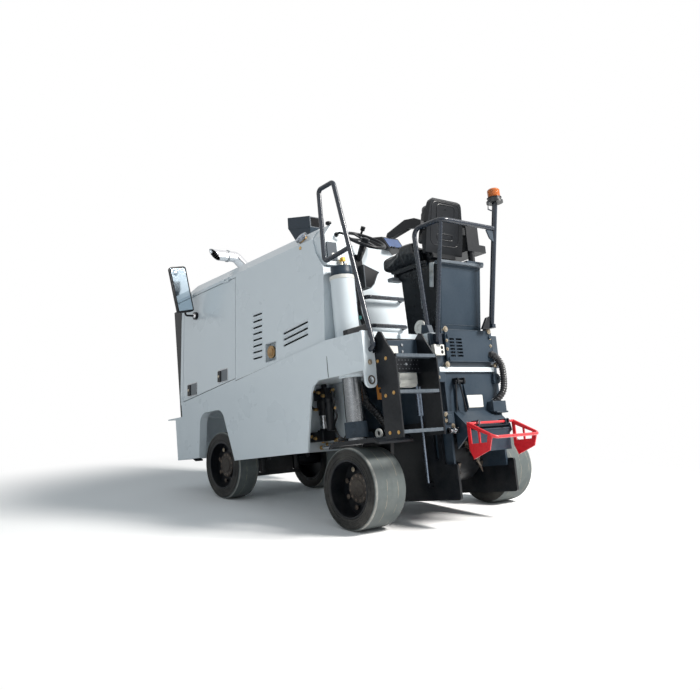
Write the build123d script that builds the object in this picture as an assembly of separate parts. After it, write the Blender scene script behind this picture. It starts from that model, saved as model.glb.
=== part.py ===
from build123d import *
import math
import os

# A small cold planer (road milling machine) on four solid tyres, parked high on its rear lifting columns.
# Millimetres.  Every piece is drawn in the machine's own level frame: +X forward, +Y left, +Z up, with
# x = 0 at the left rear axle.  The machine then leans nose-down by LEAN about that axle, as it stands.

# ---- stance ----------------------------------------------------------------------------------------
LEAN = 8.38                    # nose-down lean, degrees
TYRE_R = 279.5                 # rolling radius of all four tyres
REAR_TYRE_W = 287.0
FRONT_TYRE_W = 200.0
REAR_RIGHT_X = 145.0           # ground distance of the right rear axle ahead of the left one
FRONT_X = 1706.0               # ground distance of the front axle
REAR_OUTER_Y = 931.0           # outer faces of both rear tyres
FRONT_MID_Y = 340.0            # middle of the front axle
FRONT_OUTER = 560.0            # half width over the front tyres
ORIGIN_X = 965.0               # middle of the finished machine's box, along X and Y
ORIGIN_Y = 103.0

# ---- wheels ----------------------------------------------------------------------------------------
RIM_R = 198.0                  # seat of the solid tyre on its rim
RIM_WALL = 12.0
WHEEL_DISC = 16.0
TREAD_GROOVE = 6.0
SPINDLE_R = 55.0
HUB_R = 105.0
RUN = 0.4                      # running clearance of shafts, rods and slides, on the radius
GAP = 6.0                      # clearance between pieces that move past each other

# ---- main frame ------------------------------------------------------------------------------------
LEFT_Y = 930.0                 # outer face of the left skin
RIGHT_Y = -330.0
PLATE = 15.0                   # frame skins
NOSE_X = 2405.0
BELLY_FRONT_Z = 612.0
BELLY_REAR_Z = 555.0
SEAM_Z = 1330.0                # hood to frame seam at x = 0
SEAM_FALL = 0.0985             # the seam drops this much per millimetre forward
DECK_Z = 1010.0                # underside of the closed deck
REAR_ARCH_Z = 1052.0           # underside of the rear fender and the operator's floor
FLOOR_Z = 1300.0
TAIL_X = -400.0                # rear face of the machine
FENDER_TAIL_X = -300.0
BULKHEAD_X = 600.0
ARCH_FLANGE = 70.0             # rolled edge of the front wheel arch
ARCH_FLANGE_T = 6.0
STEP_IN_Y = 395.0              # the floor is set back above the ladder, left of this
POD_Y = 600.0                  # inner side of the left rear pod

# ---- hood ------------------------------------------------------------------------------------------
HOOD_FRONT_X = 2285.0
HOOD_POD_X = 118.0             # rear wall of the left pod
HOOD_REAR_X = 500.0            # rear wall in front of the operator
HOOD_TOP_Z = 2195.0
HOOD_BEVEL_Z = 2110.0
HOOD_TUMBLE = 80.0             # how far each side leans in up to the bevel
HOOD_BEVEL = 75.0
SHEET = 8.0
DOOR_BACK_X = 1325.0
DOOR_FRONT_X = 2235.0
DOOR_TOP_Z = HOOD_BEVEL_Z - 30
HINGE_R = 8.0
HINGE_PIN_R = 4.0
HEADER_X = 100.0               # rear face of the box behind the pod's sloping corner
HEADER_Z = 1880.0
GRILLE_DEPTH = 130.0
GRILLE_BARS = 18
GRILLE_SIDE = 60.0             # the grille stands in from both side skins by this much
GRILLE_TOP_Z = 2000.0
NOSE_TOP_Z = 1000.0            # low step of the frame in front of the hood
LIP_REACH = 150.0

# ---- milling unit ----------------------------------------------------------------------------------
DRUM_X = 30.0
DRUM_Z = 470.0
DRUM_TIP_R = 318.0
DRUM_R = 232.0
DRUM_WALL = 28.0
DRUM_W = 500.0
CHAMBER_FRONT_X = 500.0
CHAMBER_HALF = 290.0
CHAMBER_WALL = 20.0
CHAMBER_LOW_Z = 330.0
CHAMBER_MOUTH_Z = 740.0        # top of the rear mouth
PICKS_PER_TURN = 7
PICK_TURNS = 8
SKIRT = 20.0
SKIRT_LOW_Z = 135.0
SKIRT_TOP_Z = 690.0
SKIRT_BACK_X = -330.0
SKIRT_HEEL_X = -450.0
SKIRT_HEEL_Z = 380.0
SKIRT_FRONT_X = 470.0
SKIRT_TRAVEL = 200.0

# ---- lifting columns -------------------------------------------------------------------------------
COLUMN_X = 20.0
COLUMN_Y = 787.0
LEG_R = 67.0
COLUMN_R = 87.5
COLUMN_TOP_Z = 1770.0
COLLAR_R = 76.0
COLLAR_H = 72.0
LEG_TRAVEL = 300.0
RIGHT_COLUMN_X = 660.0
RIGHT_COLUMN_Y = -440.0

# ---- front axle ------------------------------------------------------------------------------------
KINGPIN = 210.0                # kingpins, each side of the axle's middle
KINGPIN_R = 22.0

# ---- operator's station ----------------------------------------------------------------------------
RAIL_R = 17.0
SEAT_Y = 95.0
SEAT_W = 420.0
SEAT_Z = 1865.0                # underside of the seat cushion
SEAT_BACK_X = -355.0
PEDESTAL_TOP_Z = 1825.0
WHEEL_X = 380.0                # steering wheel's centre
WHEEL_Y = 200.0
WHEEL_Z = 2210.0
WHEEL_R = 180.0
WHEEL_TILT = 36.0


def box(x0, x1, y0, y1, z0, z1):
    return Pos((x0 + x1) / 2, (y0 + y1) / 2, (z0 + z1) / 2) * Box(abs(x1 - x0), abs(y1 - y0), abs(z1 - z0))


def slab_y(points, y0, y1):
    """An outline in X and Z carried from y0 to y1."""
    face = make_face(Plane.XZ * Polyline(*points, close=True))
    return Pos(0, max(y0, y1), 0) * extrude(face, abs(y1 - y0), dir=(0, -1, 0))


def slab_x(points, x0, x1):
    """An outline in Y and Z carried from x0 to x1."""
    face = make_face(Plane.YZ * Polyline(*points, close=True))
    return Pos(min(x0, x1), 0, 0) * extrude(face, abs(x1 - x0), dir=(1, 0, 0))


def rounded(points, radius, steps=5):
    """The same open outline with each inner corner turned into an arc of short straight runs."""
    out = [points[0]]
    for before, corner, after in zip(points, points[1:], points[2:]):
        u = (Vector(*before) - Vector(*corner)).normalized()
        v = (Vector(*after) - Vector(*corner)).normalized()
        half = math.acos(max(-1.0, min(1.0, u.dot(v)))) / 2
        middle = Vector(*corner) + (u + v).normalized() * (radius / math.sin(half))
        start = Vector(*corner) + u * (radius / math.tan(half)) - middle
        end = Vector(*corner) + v * (radius / math.tan(half)) - middle
        for k in range(steps + 1):
            spoke = (start * (1 - k / steps) + end * (k / steps)).normalized() * radius
            out.append((middle.X + spoke.X, middle.Y + spoke.Y))
    return out + [points[-1]]


def rod(a, b, r, bore=0.0):
    """A round bar, or a pipe, from point a to point b."""
    a, b = Vector(*a), Vector(*b)
    place = Plane(origin=a, z_dir=(b - a).normalized())
    bar = extrude(place * Circle(r), (b - a).length)
    if bore:
        bar -= extrude(place * Circle(bore), (b - a).length)
    return bar


def pipe(points, r, bend):
    """A bent round tube along straight runs joined by arcs."""
    path = FilletPolyline(*points, radius=bend)
    return sweep(Plane(origin=path @ 0, z_dir=path % 0) * Circle(r), path=path)


def mirror_y(shape, middle=0.0):
    return Pos(0, 2 * middle, 0) * mirror(shape, about=Plane.XZ)


def level(x_ground, z_ground):
    """Where a point of the ground frame lies in the machine's level frame."""
    a = math.radians(LEAN)
    z = z_ground - TYRE_R
    return (math.cos(a) * x_ground - math.sin(a) * z, math.sin(a) * x_ground + math.cos(a) * z + TYRE_R)


def seam(x):
    return SEAM_Z - SEAM_FALL * x


FRONT_AXLE_X, FRONT_AXLE_Z = level(FRONT_X, TYRE_R)
RIGHT_AXLE_X, RIGHT_AXLE_Z = level(REAR_RIGHT_X, TYRE_R)
pieces = {}


# ---- wheels ----------------------------------------------------------------------------------------
def tyre(x, z, y_outer, width, side, grooves):
    """Solid rubber ring with shallow circumferential grooves.  side is +1 for a left wheel."""
    ring = rod((x, y_outer, z), (x, y_outer - side * width, z), TYRE_R, RIM_R)
    ring = chamfer([e for e in ring.edges().filter_by(GeomType.CIRCLE) if e.radius > TYRE_R - 1], 8)
    for share in grooves:
        y = y_outer - side * width * share
        ring -= rod((x, y - 3, z), (x, y + 3, z), TYRE_R + 1, TYRE_R - TREAD_GROOVE)
    return ring


def rim(x, z, y_outer, width, side, dish):
    """Barrel with a deep-set disc, hub and wheel nuts."""
    inner = y_outer - side * width
    barrel = rod((x, y_outer - side * 4, z), (x, inner + side * 4, z), RIM_R, RIM_R - RIM_WALL)
    y_disc = y_outer - side * dish
    disc = rod((x, y_disc, z), (x, y_disc - side * WHEEL_DISC, z), RIM_R - 2)
    disc += rod((x, y_disc + side * 22, z), (x, y_disc, z), HUB_R)
    for k in range(8):
        a = math.radians(45 * k + 22.5)
        cx, cz = x + 140 * math.cos(a), z + 140 * math.sin(a)
        disc += extrude(Plane(origin=(cx, y_disc, cz), z_dir=(0, side, 0)) * RegularPolygon(13, 6), 16)
    disc -= rod((x, y_disc - side * WHEEL_DISC - side, z), (x, y_disc + side * 8, z), SPINDLE_R + RUN)
    return barrel + disc


REAR_DISH = 125.0
FRONT_DISH = 80.0
FRONT_LEFT_Y = FRONT_MID_Y + FRONT_OUTER
FRONT_RIGHT_Y = FRONT_MID_Y - FRONT_OUTER
WHEELS = {                     # name: axle x, axle z, outer face y, width, side, dish, grooves
    "rear_left": (0.0, TYRE_R, REAR_OUTER_Y, REAR_TYRE_W, 1, REAR_DISH, (0.45, 0.8)),
    "rear_right": (RIGHT_AXLE_X, RIGHT_AXLE_Z, -REAR_OUTER_Y, REAR_TYRE_W, -1, REAR_DISH, (0.45, 0.8)),
    "front_left": (FRONT_AXLE_X, FRONT_AXLE_Z, FRONT_LEFT_Y, FRONT_TYRE_W, 1, FRONT_DISH, (0.5,)),
    "front_right": (FRONT_AXLE_X, FRONT_AXLE_Z, FRONT_RIGHT_Y, FRONT_TYRE_W, -1, FRONT_DISH, (0.5,)),
}
for name, (x, z, y, w, side, dish, grooves) in WHEELS.items():
    pieces[f"tyre_{name}"] = tyre(x, z, y, w, side, grooves)
    pieces[f"rim_{name}"] = rim(x, z, y, w, side, dish)


# ---- main frame ------------------------------------------------------------------------------------
FRONT_ARCH = rounded([(2008, BELLY_FRONT_Z), (1938, 995), (1568, 995), (1420, BELLY_REAR_Z)], 110)
NOSE_STEP_X = HOOD_FRONT_X - 12
NOSE = [(NOSE_STEP_X, NOSE_TOP_Z), (NOSE_X, NOSE_TOP_Z)]
LEFT_SIDE = [(NOSE_X, BELLY_FRONT_Z), *FRONT_ARCH, (415, BELLY_REAR_Z), (314, 973), (280, 1020),
             (218, REAR_ARCH_Z), (FENDER_TAIL_X, REAR_ARCH_Z), (FENDER_TAIL_X, FLOOR_Z + 12),
             (105, seam(105)), (NOSE_STEP_X, seam(NOSE_STEP_X)), *NOSE]
RIGHT_SIDE = [(NOSE_X, BELLY_FRONT_Z), *FRONT_ARCH, (840, BELLY_REAR_Z), (780, 700), (520, 700),
              (520, REAR_ARCH_Z), (HOOD_REAR_X, REAR_ARCH_Z), (HOOD_REAR_X, seam(HOOD_REAR_X)),
              (NOSE_STEP_X, seam(NOSE_STEP_X)), *NOSE]


def arch_flange(y_skin, side):
    """Rolled edge that turns inward along the front and the top of the wheel opening, clear of the tyre."""
    edge = None
    for (x0, z0), (x1, z1) in list(zip(FRONT_ARCH, FRONT_ARCH[1:]))[:-2]:
        run = math.hypot(x1 - x0, z1 - z0)
        nx, nz = -(z1 - z0) / run * ARCH_FLANGE_T, (x1 - x0) / run * ARCH_FLANGE_T
        ex, ez = (x1 - x0) / run * 0.5, (z1 - z0) / run * 0.5
        strip = slab_y([(x0 - ex, z0 - ez), (x1 + ex, z1 + ez), (x1 + ex - nx, z1 + ez - nz),
                        (x0 - ex - nx, z0 - ez - nz)], y_skin, y_skin - side * ARCH_FLANGE)
        edge = strip if edge is None else edge + strip
    return edge


def main_frame():
    left = slab_y(LEFT_SIDE, LEFT_Y - PLATE, LEFT_Y)
    right = slab_y(RIGHT_SIDE, RIGHT_Y, RIGHT_Y + PLATE)
    deck = slab_y([(NOSE_STEP_X, DECK_Z), (NOSE_STEP_X, seam(NOSE_STEP_X)), (HOOD_REAR_X, seam(HOOD_REAR_X)),
                   (HOOD_REAR_X, DECK_Z)], RIGHT_Y, LEFT_Y)
    nose = box(NOSE_X - PLATE, NOSE_X, RIGHT_Y, LEFT_Y, BELLY_FRONT_Z, NOSE_TOP_Z)
    nose += box(NOSE_STEP_X - PLATE, NOSE_X, RIGHT_Y, LEFT_Y, NOSE_TOP_Z - PLATE, NOSE_TOP_Z)
    nose += box(NOSE_STEP_X - PLATE, NOSE_STEP_X, RIGHT_Y, LEFT_Y, NOSE_TOP_Z - PLATE, DECK_Z + 10)
    nose += box(NOSE_X - PLATE, NOSE_X + LIP_REACH, RIGHT_Y + PLATE, LEFT_Y, NOSE_TOP_Z - 10, NOSE_TOP_Z)
    bulkhead = box(BULKHEAD_X, BULKHEAD_X + PLATE, RIGHT_Y, LEFT_Y, BELLY_REAR_Z, DECK_Z + 10)
    pod = slab_y([(HOOD_REAR_X + 1, REAR_ARCH_Z), (FENDER_TAIL_X, REAR_ARCH_Z), (FENDER_TAIL_X, FLOOR_Z + 12),
                  (105, seam(105)), (HOOD_REAR_X + 1, seam(HOOD_REAR_X + 1))], POD_Y, LEFT_Y)
    floor = box(TAIL_X, HOOD_REAR_X, RIGHT_Y, STEP_IN_Y, REAR_ARCH_Z, FLOOR_Z)
    floor += box(FENDER_TAIL_X - 20, HOOD_REAR_X, STEP_IN_Y, POD_Y, REAR_ARCH_Z, FLOOR_Z)
    arches = arch_flange(LEFT_Y, 1) + arch_flange(RIGHT_Y, -1)
    return left + right + deck + nose + bulkhead + pod + floor + arches


frame = main_frame()
frame -= rod((COLUMN_X, COLUMN_Y, REAR_ARCH_Z - 1), (COLUMN_X, COLUMN_Y, 1400), COLUMN_R)
EYE_Y, EYE_Z = 905.0, 982.0
end_plate = slab_y([(FENDER_TAIL_X, FLOOR_Z + 12), (FENDER_TAIL_X - 20, FLOOR_Z + 12),
                    (FENDER_TAIL_X - 20, 930), (FENDER_TAIL_X, 930)], EYE_Y - 48, LEFT_Y + 23)
end_plate = fillet(end_plate.edges().filter_by(Axis.X).sort_by(Axis.Z)[:2], 44)
end_plate -= rod((FENDER_TAIL_X - 30, EYE_Y, EYE_Z), (FENDER_TAIL_X + 10, EYE_Y, EYE_Z), 20)
pieces["main_frame"] = frame + end_plate


# ---- hood ------------------------------------------------------------------------------------------
def hood_section(inset, y_low):
    """Outline across the hood: leaning sides, bevelled shoulders and a flat top."""
    left = [(LEFT_Y - inset, SEAM_Z - 400), (LEFT_Y - inset, SEAM_Z - 150),
            (LEFT_Y - HOOD_TUMBLE - inset, HOOD_BEVEL_Z - inset / 2),
            (LEFT_Y - HOOD_TUMBLE - HOOD_BEVEL - inset / 2, HOOD_TOP_Z - inset)]
    if y_low is not None:
        return left + [(y_low + inset, HOOD_TOP_Z - inset), (y_low + inset, SEAM_Z - 400)]
    right = [(RIGHT_Y + LEFT_Y - y, z) for y, z in reversed(left)]
    return left + right


POD_CUT = [(HOOD_POD_X, 1860), (205, 1990), (240, HOOD_BEVEL_Z), (240, HOOD_TOP_Z + 100), (HOOD_POD_X - 50, HOOD_TOP_Z + 100),
           (HOOD_POD_X - 50, 1860)]


def hood_block(inset):
    main = slab_x(hood_section(inset, None), HOOD_REAR_X + inset, HOOD_FRONT_X + (20 if inset else 0))
    pod = slab_x(hood_section(inset, POD_Y), HOOD_POD_X + inset, HOOD_REAR_X + inset + 1)
    pod -= slab_y([(x + inset, z) for x, z in POD_CUT], POD_Y - 10, LEFT_Y + 10)
    i = inset
    header = slab_x([(POD_Y + 15 + i, HEADER_Z + i), (LEFT_Y - 85 - i, HEADER_Z + i), (LEFT_Y - 85 - i, HOOD_BEVEL_Z - 5),
                     (LEFT_Y - 155 - i / 2, HOOD_TOP_Z - 5 - i), (POD_Y + 15 + i, HOOD_TOP_Z - 5 - i)],
                    HEADER_X + i, 262 + i)
    return main + pod + header


below_seam = slab_y([(-200, seam(-200)), (NOSE_X + 200, seam(NOSE_X + 200)), (NOSE_X + 200, 700), (-200, 700)],
                    RIGHT_Y - 50, LEFT_Y + 50)
front_slope = slab_y([(HOOD_FRONT_X - 190, HOOD_TOP_Z + 5), (HOOD_FRONT_X + 60, HOOD_TOP_Z + 5),
                      (HOOD_FRONT_X + 60, HOOD_TOP_Z - 160)], RIGHT_Y - 50, LEFT_Y + 50)
front_slope_in = Pos(-SHEET / 2, 0, -SHEET) * front_slope
hood_outer = hood_block(0) - below_seam - front_slope
hood_inner = hood_block(SHEET) - front_slope_in
hood_shell = hood_outer - hood_inner


def door_zone(margin, side):
    """The door's place in one side wall.  side is +1 for the left."""
    y0, y1 = (LEFT_Y - 150, LEFT_Y + 10) if side > 0 else (RIGHT_Y - 10, RIGHT_Y + 150)
    a, b = DOOR_BACK_X + margin, DOOR_FRONT_X - margin
    return slab_y([(a, seam(a) + 20 + margin), (a, DOOR_TOP_Z - margin), (b, DOOR_TOP_Z - margin),
                   (b, seam(b) + 20 + margin)], y0, y1)


def wall_y(z, side):
    """Outer face of the leaning side wall at height z."""
    run = (z - (SEAM_Z - 150)) / (HOOD_BEVEL_Z - (SEAM_Z - 150))
    y = LEFT_Y - HOOD_TUMBLE * run
    return y if side > 0 else RIGHT_Y + LEFT_Y - y


HINGE_X = (DOOR_BACK_X + 140, DOOR_FRONT_X - 140)
HINGE_LONG = 60.0


def hood_door(side):
    """Top-hung door with the barrels of its two hinges."""
    door = hood_shell & door_zone(GAP / 2, side)
    y_axis = wall_y(DOOR_TOP_Z, side) + side * (HINGE_R + 1)
    for x in HINGE_X:
        leaf = box(x - HINGE_LONG / 2, x + HINGE_LONG / 2, y_axis - side * HINGE_R, y_axis - side * (HINGE_R + 5),
                   DOOR_TOP_Z - 45, DOOR_TOP_Z - 2)
        barrel = rod((x - HINGE_LONG / 2, y_axis, DOOR_TOP_Z), (x + HINGE_LONG / 2, y_axis, DOOR_TOP_Z), HINGE_R)
        door += leaf + box(x - HINGE_LONG / 2, x + HINGE_LONG / 2, y_axis, y_axis - side * (HINGE_R + 2),
                           DOOR_TOP_Z - HINGE_R, DOOR_TOP_Z - 4) + barrel
        door -= rod((x - 40, y_axis, DOOR_TOP_Z), (x + 40, y_axis, DOOR_TOP_Z), HINGE_PIN_R + RUN)
    return door


def hinge_ears(side):
    """Ears and pins on the hood that carry one door."""
    y_axis = wall_y(DOOR_TOP_Z, side) + side * (HINGE_R + 1)
    ears = None
    for x in HINGE_X:
        for end in (-1, 1):
            e = x + end * (HINGE_LONG / 2 + 6)
            ear = rod((e - 5, y_axis, DOOR_TOP_Z), (e + 5, y_axis, DOOR_TOP_Z), HINGE_R)
            ear += box(e - 5, e + 5, y_axis + side * HINGE_R, y_axis - side * (HINGE_R + 8),
                       DOOR_TOP_Z + GAP / 2, DOOR_TOP_Z + 26)
            ears = ear if ears is None else ears + ear
        ears += rod((x - 40, y_axis, DOOR_TOP_Z), (x + 40, y_axis, DOOR_TOP_Z), HINGE_PIN_R)
    return ears


hood = hood_shell - door_zone(-GAP / 2, 1) - door_zone(-GAP / 2, -1)
hood += hinge_ears(1) + hinge_ears(-1)
# louvre slots in the left wall: x and z of the first, slots, length, step down, height, fall per millimetre
LOUVRES = [(921, 1694, 8, 130, 50, 14, 0.0), (314, 1504, 3, 310, 46, 15, 0.11)]
for x0, z0, count, long, step, high, fall in LOUVRES:
    for k in range(count):
        z = z0 - k * step
        hood -= slab_y([(x0, z), (x0 + long, z - fall * long), (x0 + long, z - high - fall * long), (x0, z - high)],
                       LEFT_Y - 110, LEFT_Y + 10)
# the fuel filler's recess
FILLER_X, FILLER_Z = 800.0, 1354.0
RECESS = 74.0                  # half its width and height
hood -= box(FILLER_X - RECESS, FILLER_X + RECESS, LEFT_Y - 120, LEFT_Y + 10, FILLER_Z - RECESS, FILLER_Z + RECESS)
pocket = box(FILLER_X - RECESS - SHEET, FILLER_X + RECESS + SHEET, LEFT_Y - 75, LEFT_Y - 14,
             FILLER_Z - RECESS - SHEET, FILLER_Z + RECESS + SHEET)
pocket -= box(FILLER_X - RECESS, FILLER_X + RECESS, LEFT_Y - 67, LEFT_Y + 10, FILLER_Z - RECESS, FILLER_Z + RECESS)
hood += pocket & hood_outer
pieces["hood"] = hood
pieces["hood_door_left"] = hood_door(1)
pieces["hood_door_right"] = hood_door(-1)
door_block = hood_outer & door_zone(0, 1)

filler = rod((FILLER_X, LEFT_Y - 67, FILLER_Z), (FILLER_X, LEFT_Y - 30, FILLER_Z), 34)
filler += extrude(Plane(origin=(FILLER_X, LEFT_Y - 30, FILLER_Z), z_dir=(0, 1, 0)) * RegularPolygon(50, 12), 14)
BEVEL_RISE = HOOD_TOP_Z - HOOD_BEVEL_Z
BEVEL_LONG = math.hypot(HOOD_BEVEL, BEVEL_RISE)
CAP_OUT = (BEVEL_RISE / BEVEL_LONG, HOOD_BEVEL / BEVEL_LONG)      # away from the bevel, in Y and Z
CAP_X = 400.0
CAP_Y = LEFT_Y - HOOD_TUMBLE - 0.5 * HOOD_BEVEL
CAP_Z = HOOD_BEVEL_Z + 0.5 * BEVEL_RISE


def on_bevel(height):
    """Centre of the water cap at this height above the bevel."""
    return (CAP_X, CAP_Y + CAP_OUT[0] * height, CAP_Z + CAP_OUT[1] * height)


water_cap = rod(on_bevel(0), on_bevel(14), 40) + rod(on_bevel(14), on_bevel(30), 46)
pieces["tank_caps"] = filler + water_cap


# ---- nose: grille, step, engine --------------------------------------------------------------------
def radiator_grille():
    y0, y1 = RIGHT_Y + GRILLE_SIDE, LEFT_Y - GRILLE_SIDE
    z0, z1 = NOSE_TOP_Z, GRILLE_TOP_Z
    x0, x1 = HOOD_FRONT_X, HOOD_FRONT_X + GRILLE_DEPTH
    body = box(x0, x1, y0, y1, z0, z1) - box(x0 - 1, x1 + 1, y0 + 30, y1 - 30, z0 + 30, z1 - 30)
    pitch = (z1 - z0 - 60) / GRILLE_BARS
    for k in range(GRILLE_BARS):
        z = z0 + 30 + pitch * (k + 0.5)
        body += slab_y([(x1 - 40, z - 14), (x1 - 36, z - 14), (x1 - 4, z + 12), (x1 - 8, z + 12)], y0 + 20, y1 - 20)
    return body + box(x0 + 4, x0 + 16, y0 + 20, y1 - 20, z0 + 20, z1 - 20)


surround = box(HOOD_FRONT_X - SHEET, HOOD_FRONT_X, RIGHT_Y + SHEET, LEFT_Y - SHEET,
               seam(HOOD_FRONT_X - SHEET), HOOD_TOP_Z - 60)
surround = surround & hood_block(SHEET / 2)
surround -= box(HOOD_FRONT_X - 60, HOOD_FRONT_X + 60, RIGHT_Y + 110, LEFT_Y - 110,
                seam(HOOD_FRONT_X) + 40, GRILLE_TOP_Z - 40)
pieces["hood"] = pieces["hood"] + (surround - front_slope)
pieces["radiator_grille"] = radiator_grille()
pieces["engine_block"] = box(1080, 1920, -60, 660, seam(1080), 1820)


# ---- front axle ------------------------------------------------------------------------------------
FORK_HALF = 75.0
PIN_LEFT_Y = FRONT_MID_Y + KINGPIN
PIN_RIGHT_Y = FRONT_MID_Y - KINGPIN


def front_axle():
    x, z = FRONT_AXLE_X, FRONT_AXLE_Z
    beam = box(x - 55, x + 55, PIN_RIGHT_Y - 40, PIN_LEFT_Y + 40, z + 90, z + 200)
    low = box(x - 45, x + 45, PIN_RIGHT_Y + 62, PIN_LEFT_Y - 62, z - 120, z + 95)
    for y, s in ((PIN_LEFT_Y, 1), (PIN_RIGHT_Y, -1)):
        beam += rod((x, y, z + 90), (x, y, z + 200), 55)
        low += box(x - 45, x + 45, y - s * 62, y + s * 4, z - 120, z - 90) + rod((x, y, z - 120), (x, y, z - 90), 45)
    axle = beam + low
    for y in (PIN_LEFT_Y, PIN_RIGHT_Y):
        axle += rod((x, y, z - 100), (x, y, z + 100), KINGPIN_R)
    saddle = box(x - 100, x + 100, FRONT_MID_Y - 60, FRONT_MID_Y + 60, z + 195, DECK_Z)
    return axle + saddle - rod((x - 120, FRONT_MID_Y, z + 280), (x + 120, FRONT_MID_Y, z + 280), 24)


def knuckle(y_pin, side, y_outer):
    """Sleeve on the kingpin with the wheel's spindle and a steering arm."""
    x, z = FRONT_AXLE_X, FRONT_AXLE_Z
    sleeve = rod((x, y_pin, z - 84), (x, y_pin, z + 84), 44)
    y_disc = y_outer - side * FRONT_DISH
    stub = rod((x, y_pin, z), (x, y_disc - side * (WHEEL_DISC + 40), z), 62)
    spindle = rod((x, y_pin, z), (x, y_disc + side * 6, z), SPINDLE_R)
    arm = box(x - 190, x - 20, y_pin - 12, y_pin + 12, z + 20, z + 50)
    arm += rod((x - 190, y_pin, z + 10), (x - 190, y_pin, z + 60), 22)
    piece = sleeve + stub + spindle + arm
    return piece - rod((x, y_pin, z - 200), (x, y_pin, z + 200), KINGPIN_R + RUN)


pieces["front_axle"] = front_axle()
pieces["knuckle_left"] = knuckle(PIN_LEFT_Y, 1, FRONT_LEFT_Y)
pieces["knuckle_right"] = knuckle(PIN_RIGHT_Y, -1, FRONT_RIGHT_Y)


# ---- lifting columns -------------------------------------------------------------------------------
def left_column():
    x, y, top = COLUMN_X, COLUMN_Y, COLUMN_TOP_Z
    tube = rod((x, y, REAR_ARCH_Z - 12), (x, y, top), COLUMN_R, LEG_R + RUN)
    lid = rod((x, y, top - 14), (x, y, top), COLUMN_R - 2)
    return tube + lid + rod((x, y, top), (x, y, top + COLLAR_H), COLLAR_R)


def left_leg():
    hub_y = REAR_OUTER_Y - REAR_DISH
    tube = rod((COLUMN_X, COLUMN_Y, 590), (COLUMN_X, COLUMN_Y, COLUMN_TOP_Z - LEG_TRAVEL - 30), LEG_R)
    saddle = slab_y([(-300, 560), (-250, 575), (190, 575), (230, 560), (230, 574), (170, 605), (-250, 605), (-300, 574)],
                    560, 880)
    cheek = slab_y([(-150, 590), (-90, 200), (90, 200), (150, 590)], 600, 630)
    motor = rod((0, 500, TYRE_R), (0, 600, TYRE_R), 105)
    stub = rod((0, 610, TYRE_R), (0, hub_y - WHEEL_DISC - 30, TYRE_R), 100)
    spindle = rod((0, 610, TYRE_R), (0, hub_y + 6, TYRE_R), SPINDLE_R)
    eye = rod((-120, 700, 636), (-120, 712, 636), 32, 18) + box(-132, -108, 700, 712, 600, 612)
    return tube + saddle + cheek + motor + stub + spindle + eye


def right_column():
    x, y = RIGHT_COLUMN_X, RIGHT_COLUMN_Y
    tube = rod((x, y, 760), (x, y, 1330), COLUMN_R, LEG_R + RUN) + rod((x, y, 1318), (x, y, 1330), COLUMN_R - 2)
    web = box(x - 60, x + 60, y + 60, RIGHT_Y, 780, 1240)
    return tube + web - rod((x, y, 740), (x, y, 1300), LEG_R + RUN)


def right_leg():
    x, y = RIGHT_COLUMN_X, RIGHT_COLUMN_Y
    hub_y = -(REAR_OUTER_Y - REAR_DISH)
    ax, az = RIGHT_AXLE_X, RIGHT_AXLE_Z
    tube = rod((x, y, az - 60), (x, y, 1330 - LEG_TRAVEL - 30), LEG_R)
    foot = rod((x, y, az - 90), (x, y, az + 100), 92)
    arm = loft([Plane(origin=(x, y, az), x_dir=(0, 1, 0), z_dir=(-1, 0, 0)) * Rectangle(110, 150),
                Plane(origin=(ax, -575, az), x_dir=(0, 1, 0), z_dir=(-1, 0, 0)) * Rectangle(70, 190)])
    motor = rod((ax, -525, az), (ax, -610, az), 105)
    stub = rod((ax, -600, az), (ax, hub_y + WHEEL_DISC + 30, az), 100)
    spindle = rod((ax, -600, az), (ax, hub_y - 6, az), SPINDLE_R)
    return tube + foot + arm + motor + stub + spindle


pieces["lift_column_left"] = left_column()
pieces["lift_leg_left"] = left_leg()
pieces["lift_column_right"] = right_column()
pieces["lift_leg_right"] = right_leg()


# ---- milling unit ----------------------------------------------------------------------------------
GEARBOX_R = 150.0
BEARING_R = 110.0


def milling_chamber():
    h, t = CHAMBER_HALF, CHAMBER_WALL
    shell = box(TAIL_X, CHAMBER_FRONT_X, -h, h, CHAMBER_LOW_Z, REAR_ARCH_Z)
    shell -= box(TAIL_X + t, CHAMBER_FRONT_X - t, -h + t, h - t, CHAMBER_LOW_Z - 1, REAR_ARCH_Z - t)
    shell -= box(TAIL_X - 1, TAIL_X + t + 1, -h + t, h - t, CHAMBER_LOW_Z - 1, CHAMBER_MOUTH_Z)
    shell += rod((DRUM_X, h - 1, DRUM_Z), (DRUM_X, 180, DRUM_Z), GEARBOX_R)
    shell += rod((DRUM_X, -h + 1, DRUM_Z), (DRUM_X, -180, DRUM_Z), BEARING_R)
    for side in (1, -1):
        for x in STUD_X:
            shell += rod((x, side * (h - 1), STUD_Z), (x, side * (h + GAP + SKIRT + GAP), STUD_Z), STUD_R)
            shell += rod((x, side * (h + GAP + SKIRT + GAP), STUD_Z),
                         (x, side * (h + GAP + SKIRT + GAP + 8), STUD_Z), STUD_R + 16)
    return shell


STUD_X = (-270.0, 400.0)
STUD_Z = 640.0
STUD_R = 19.0


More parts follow.
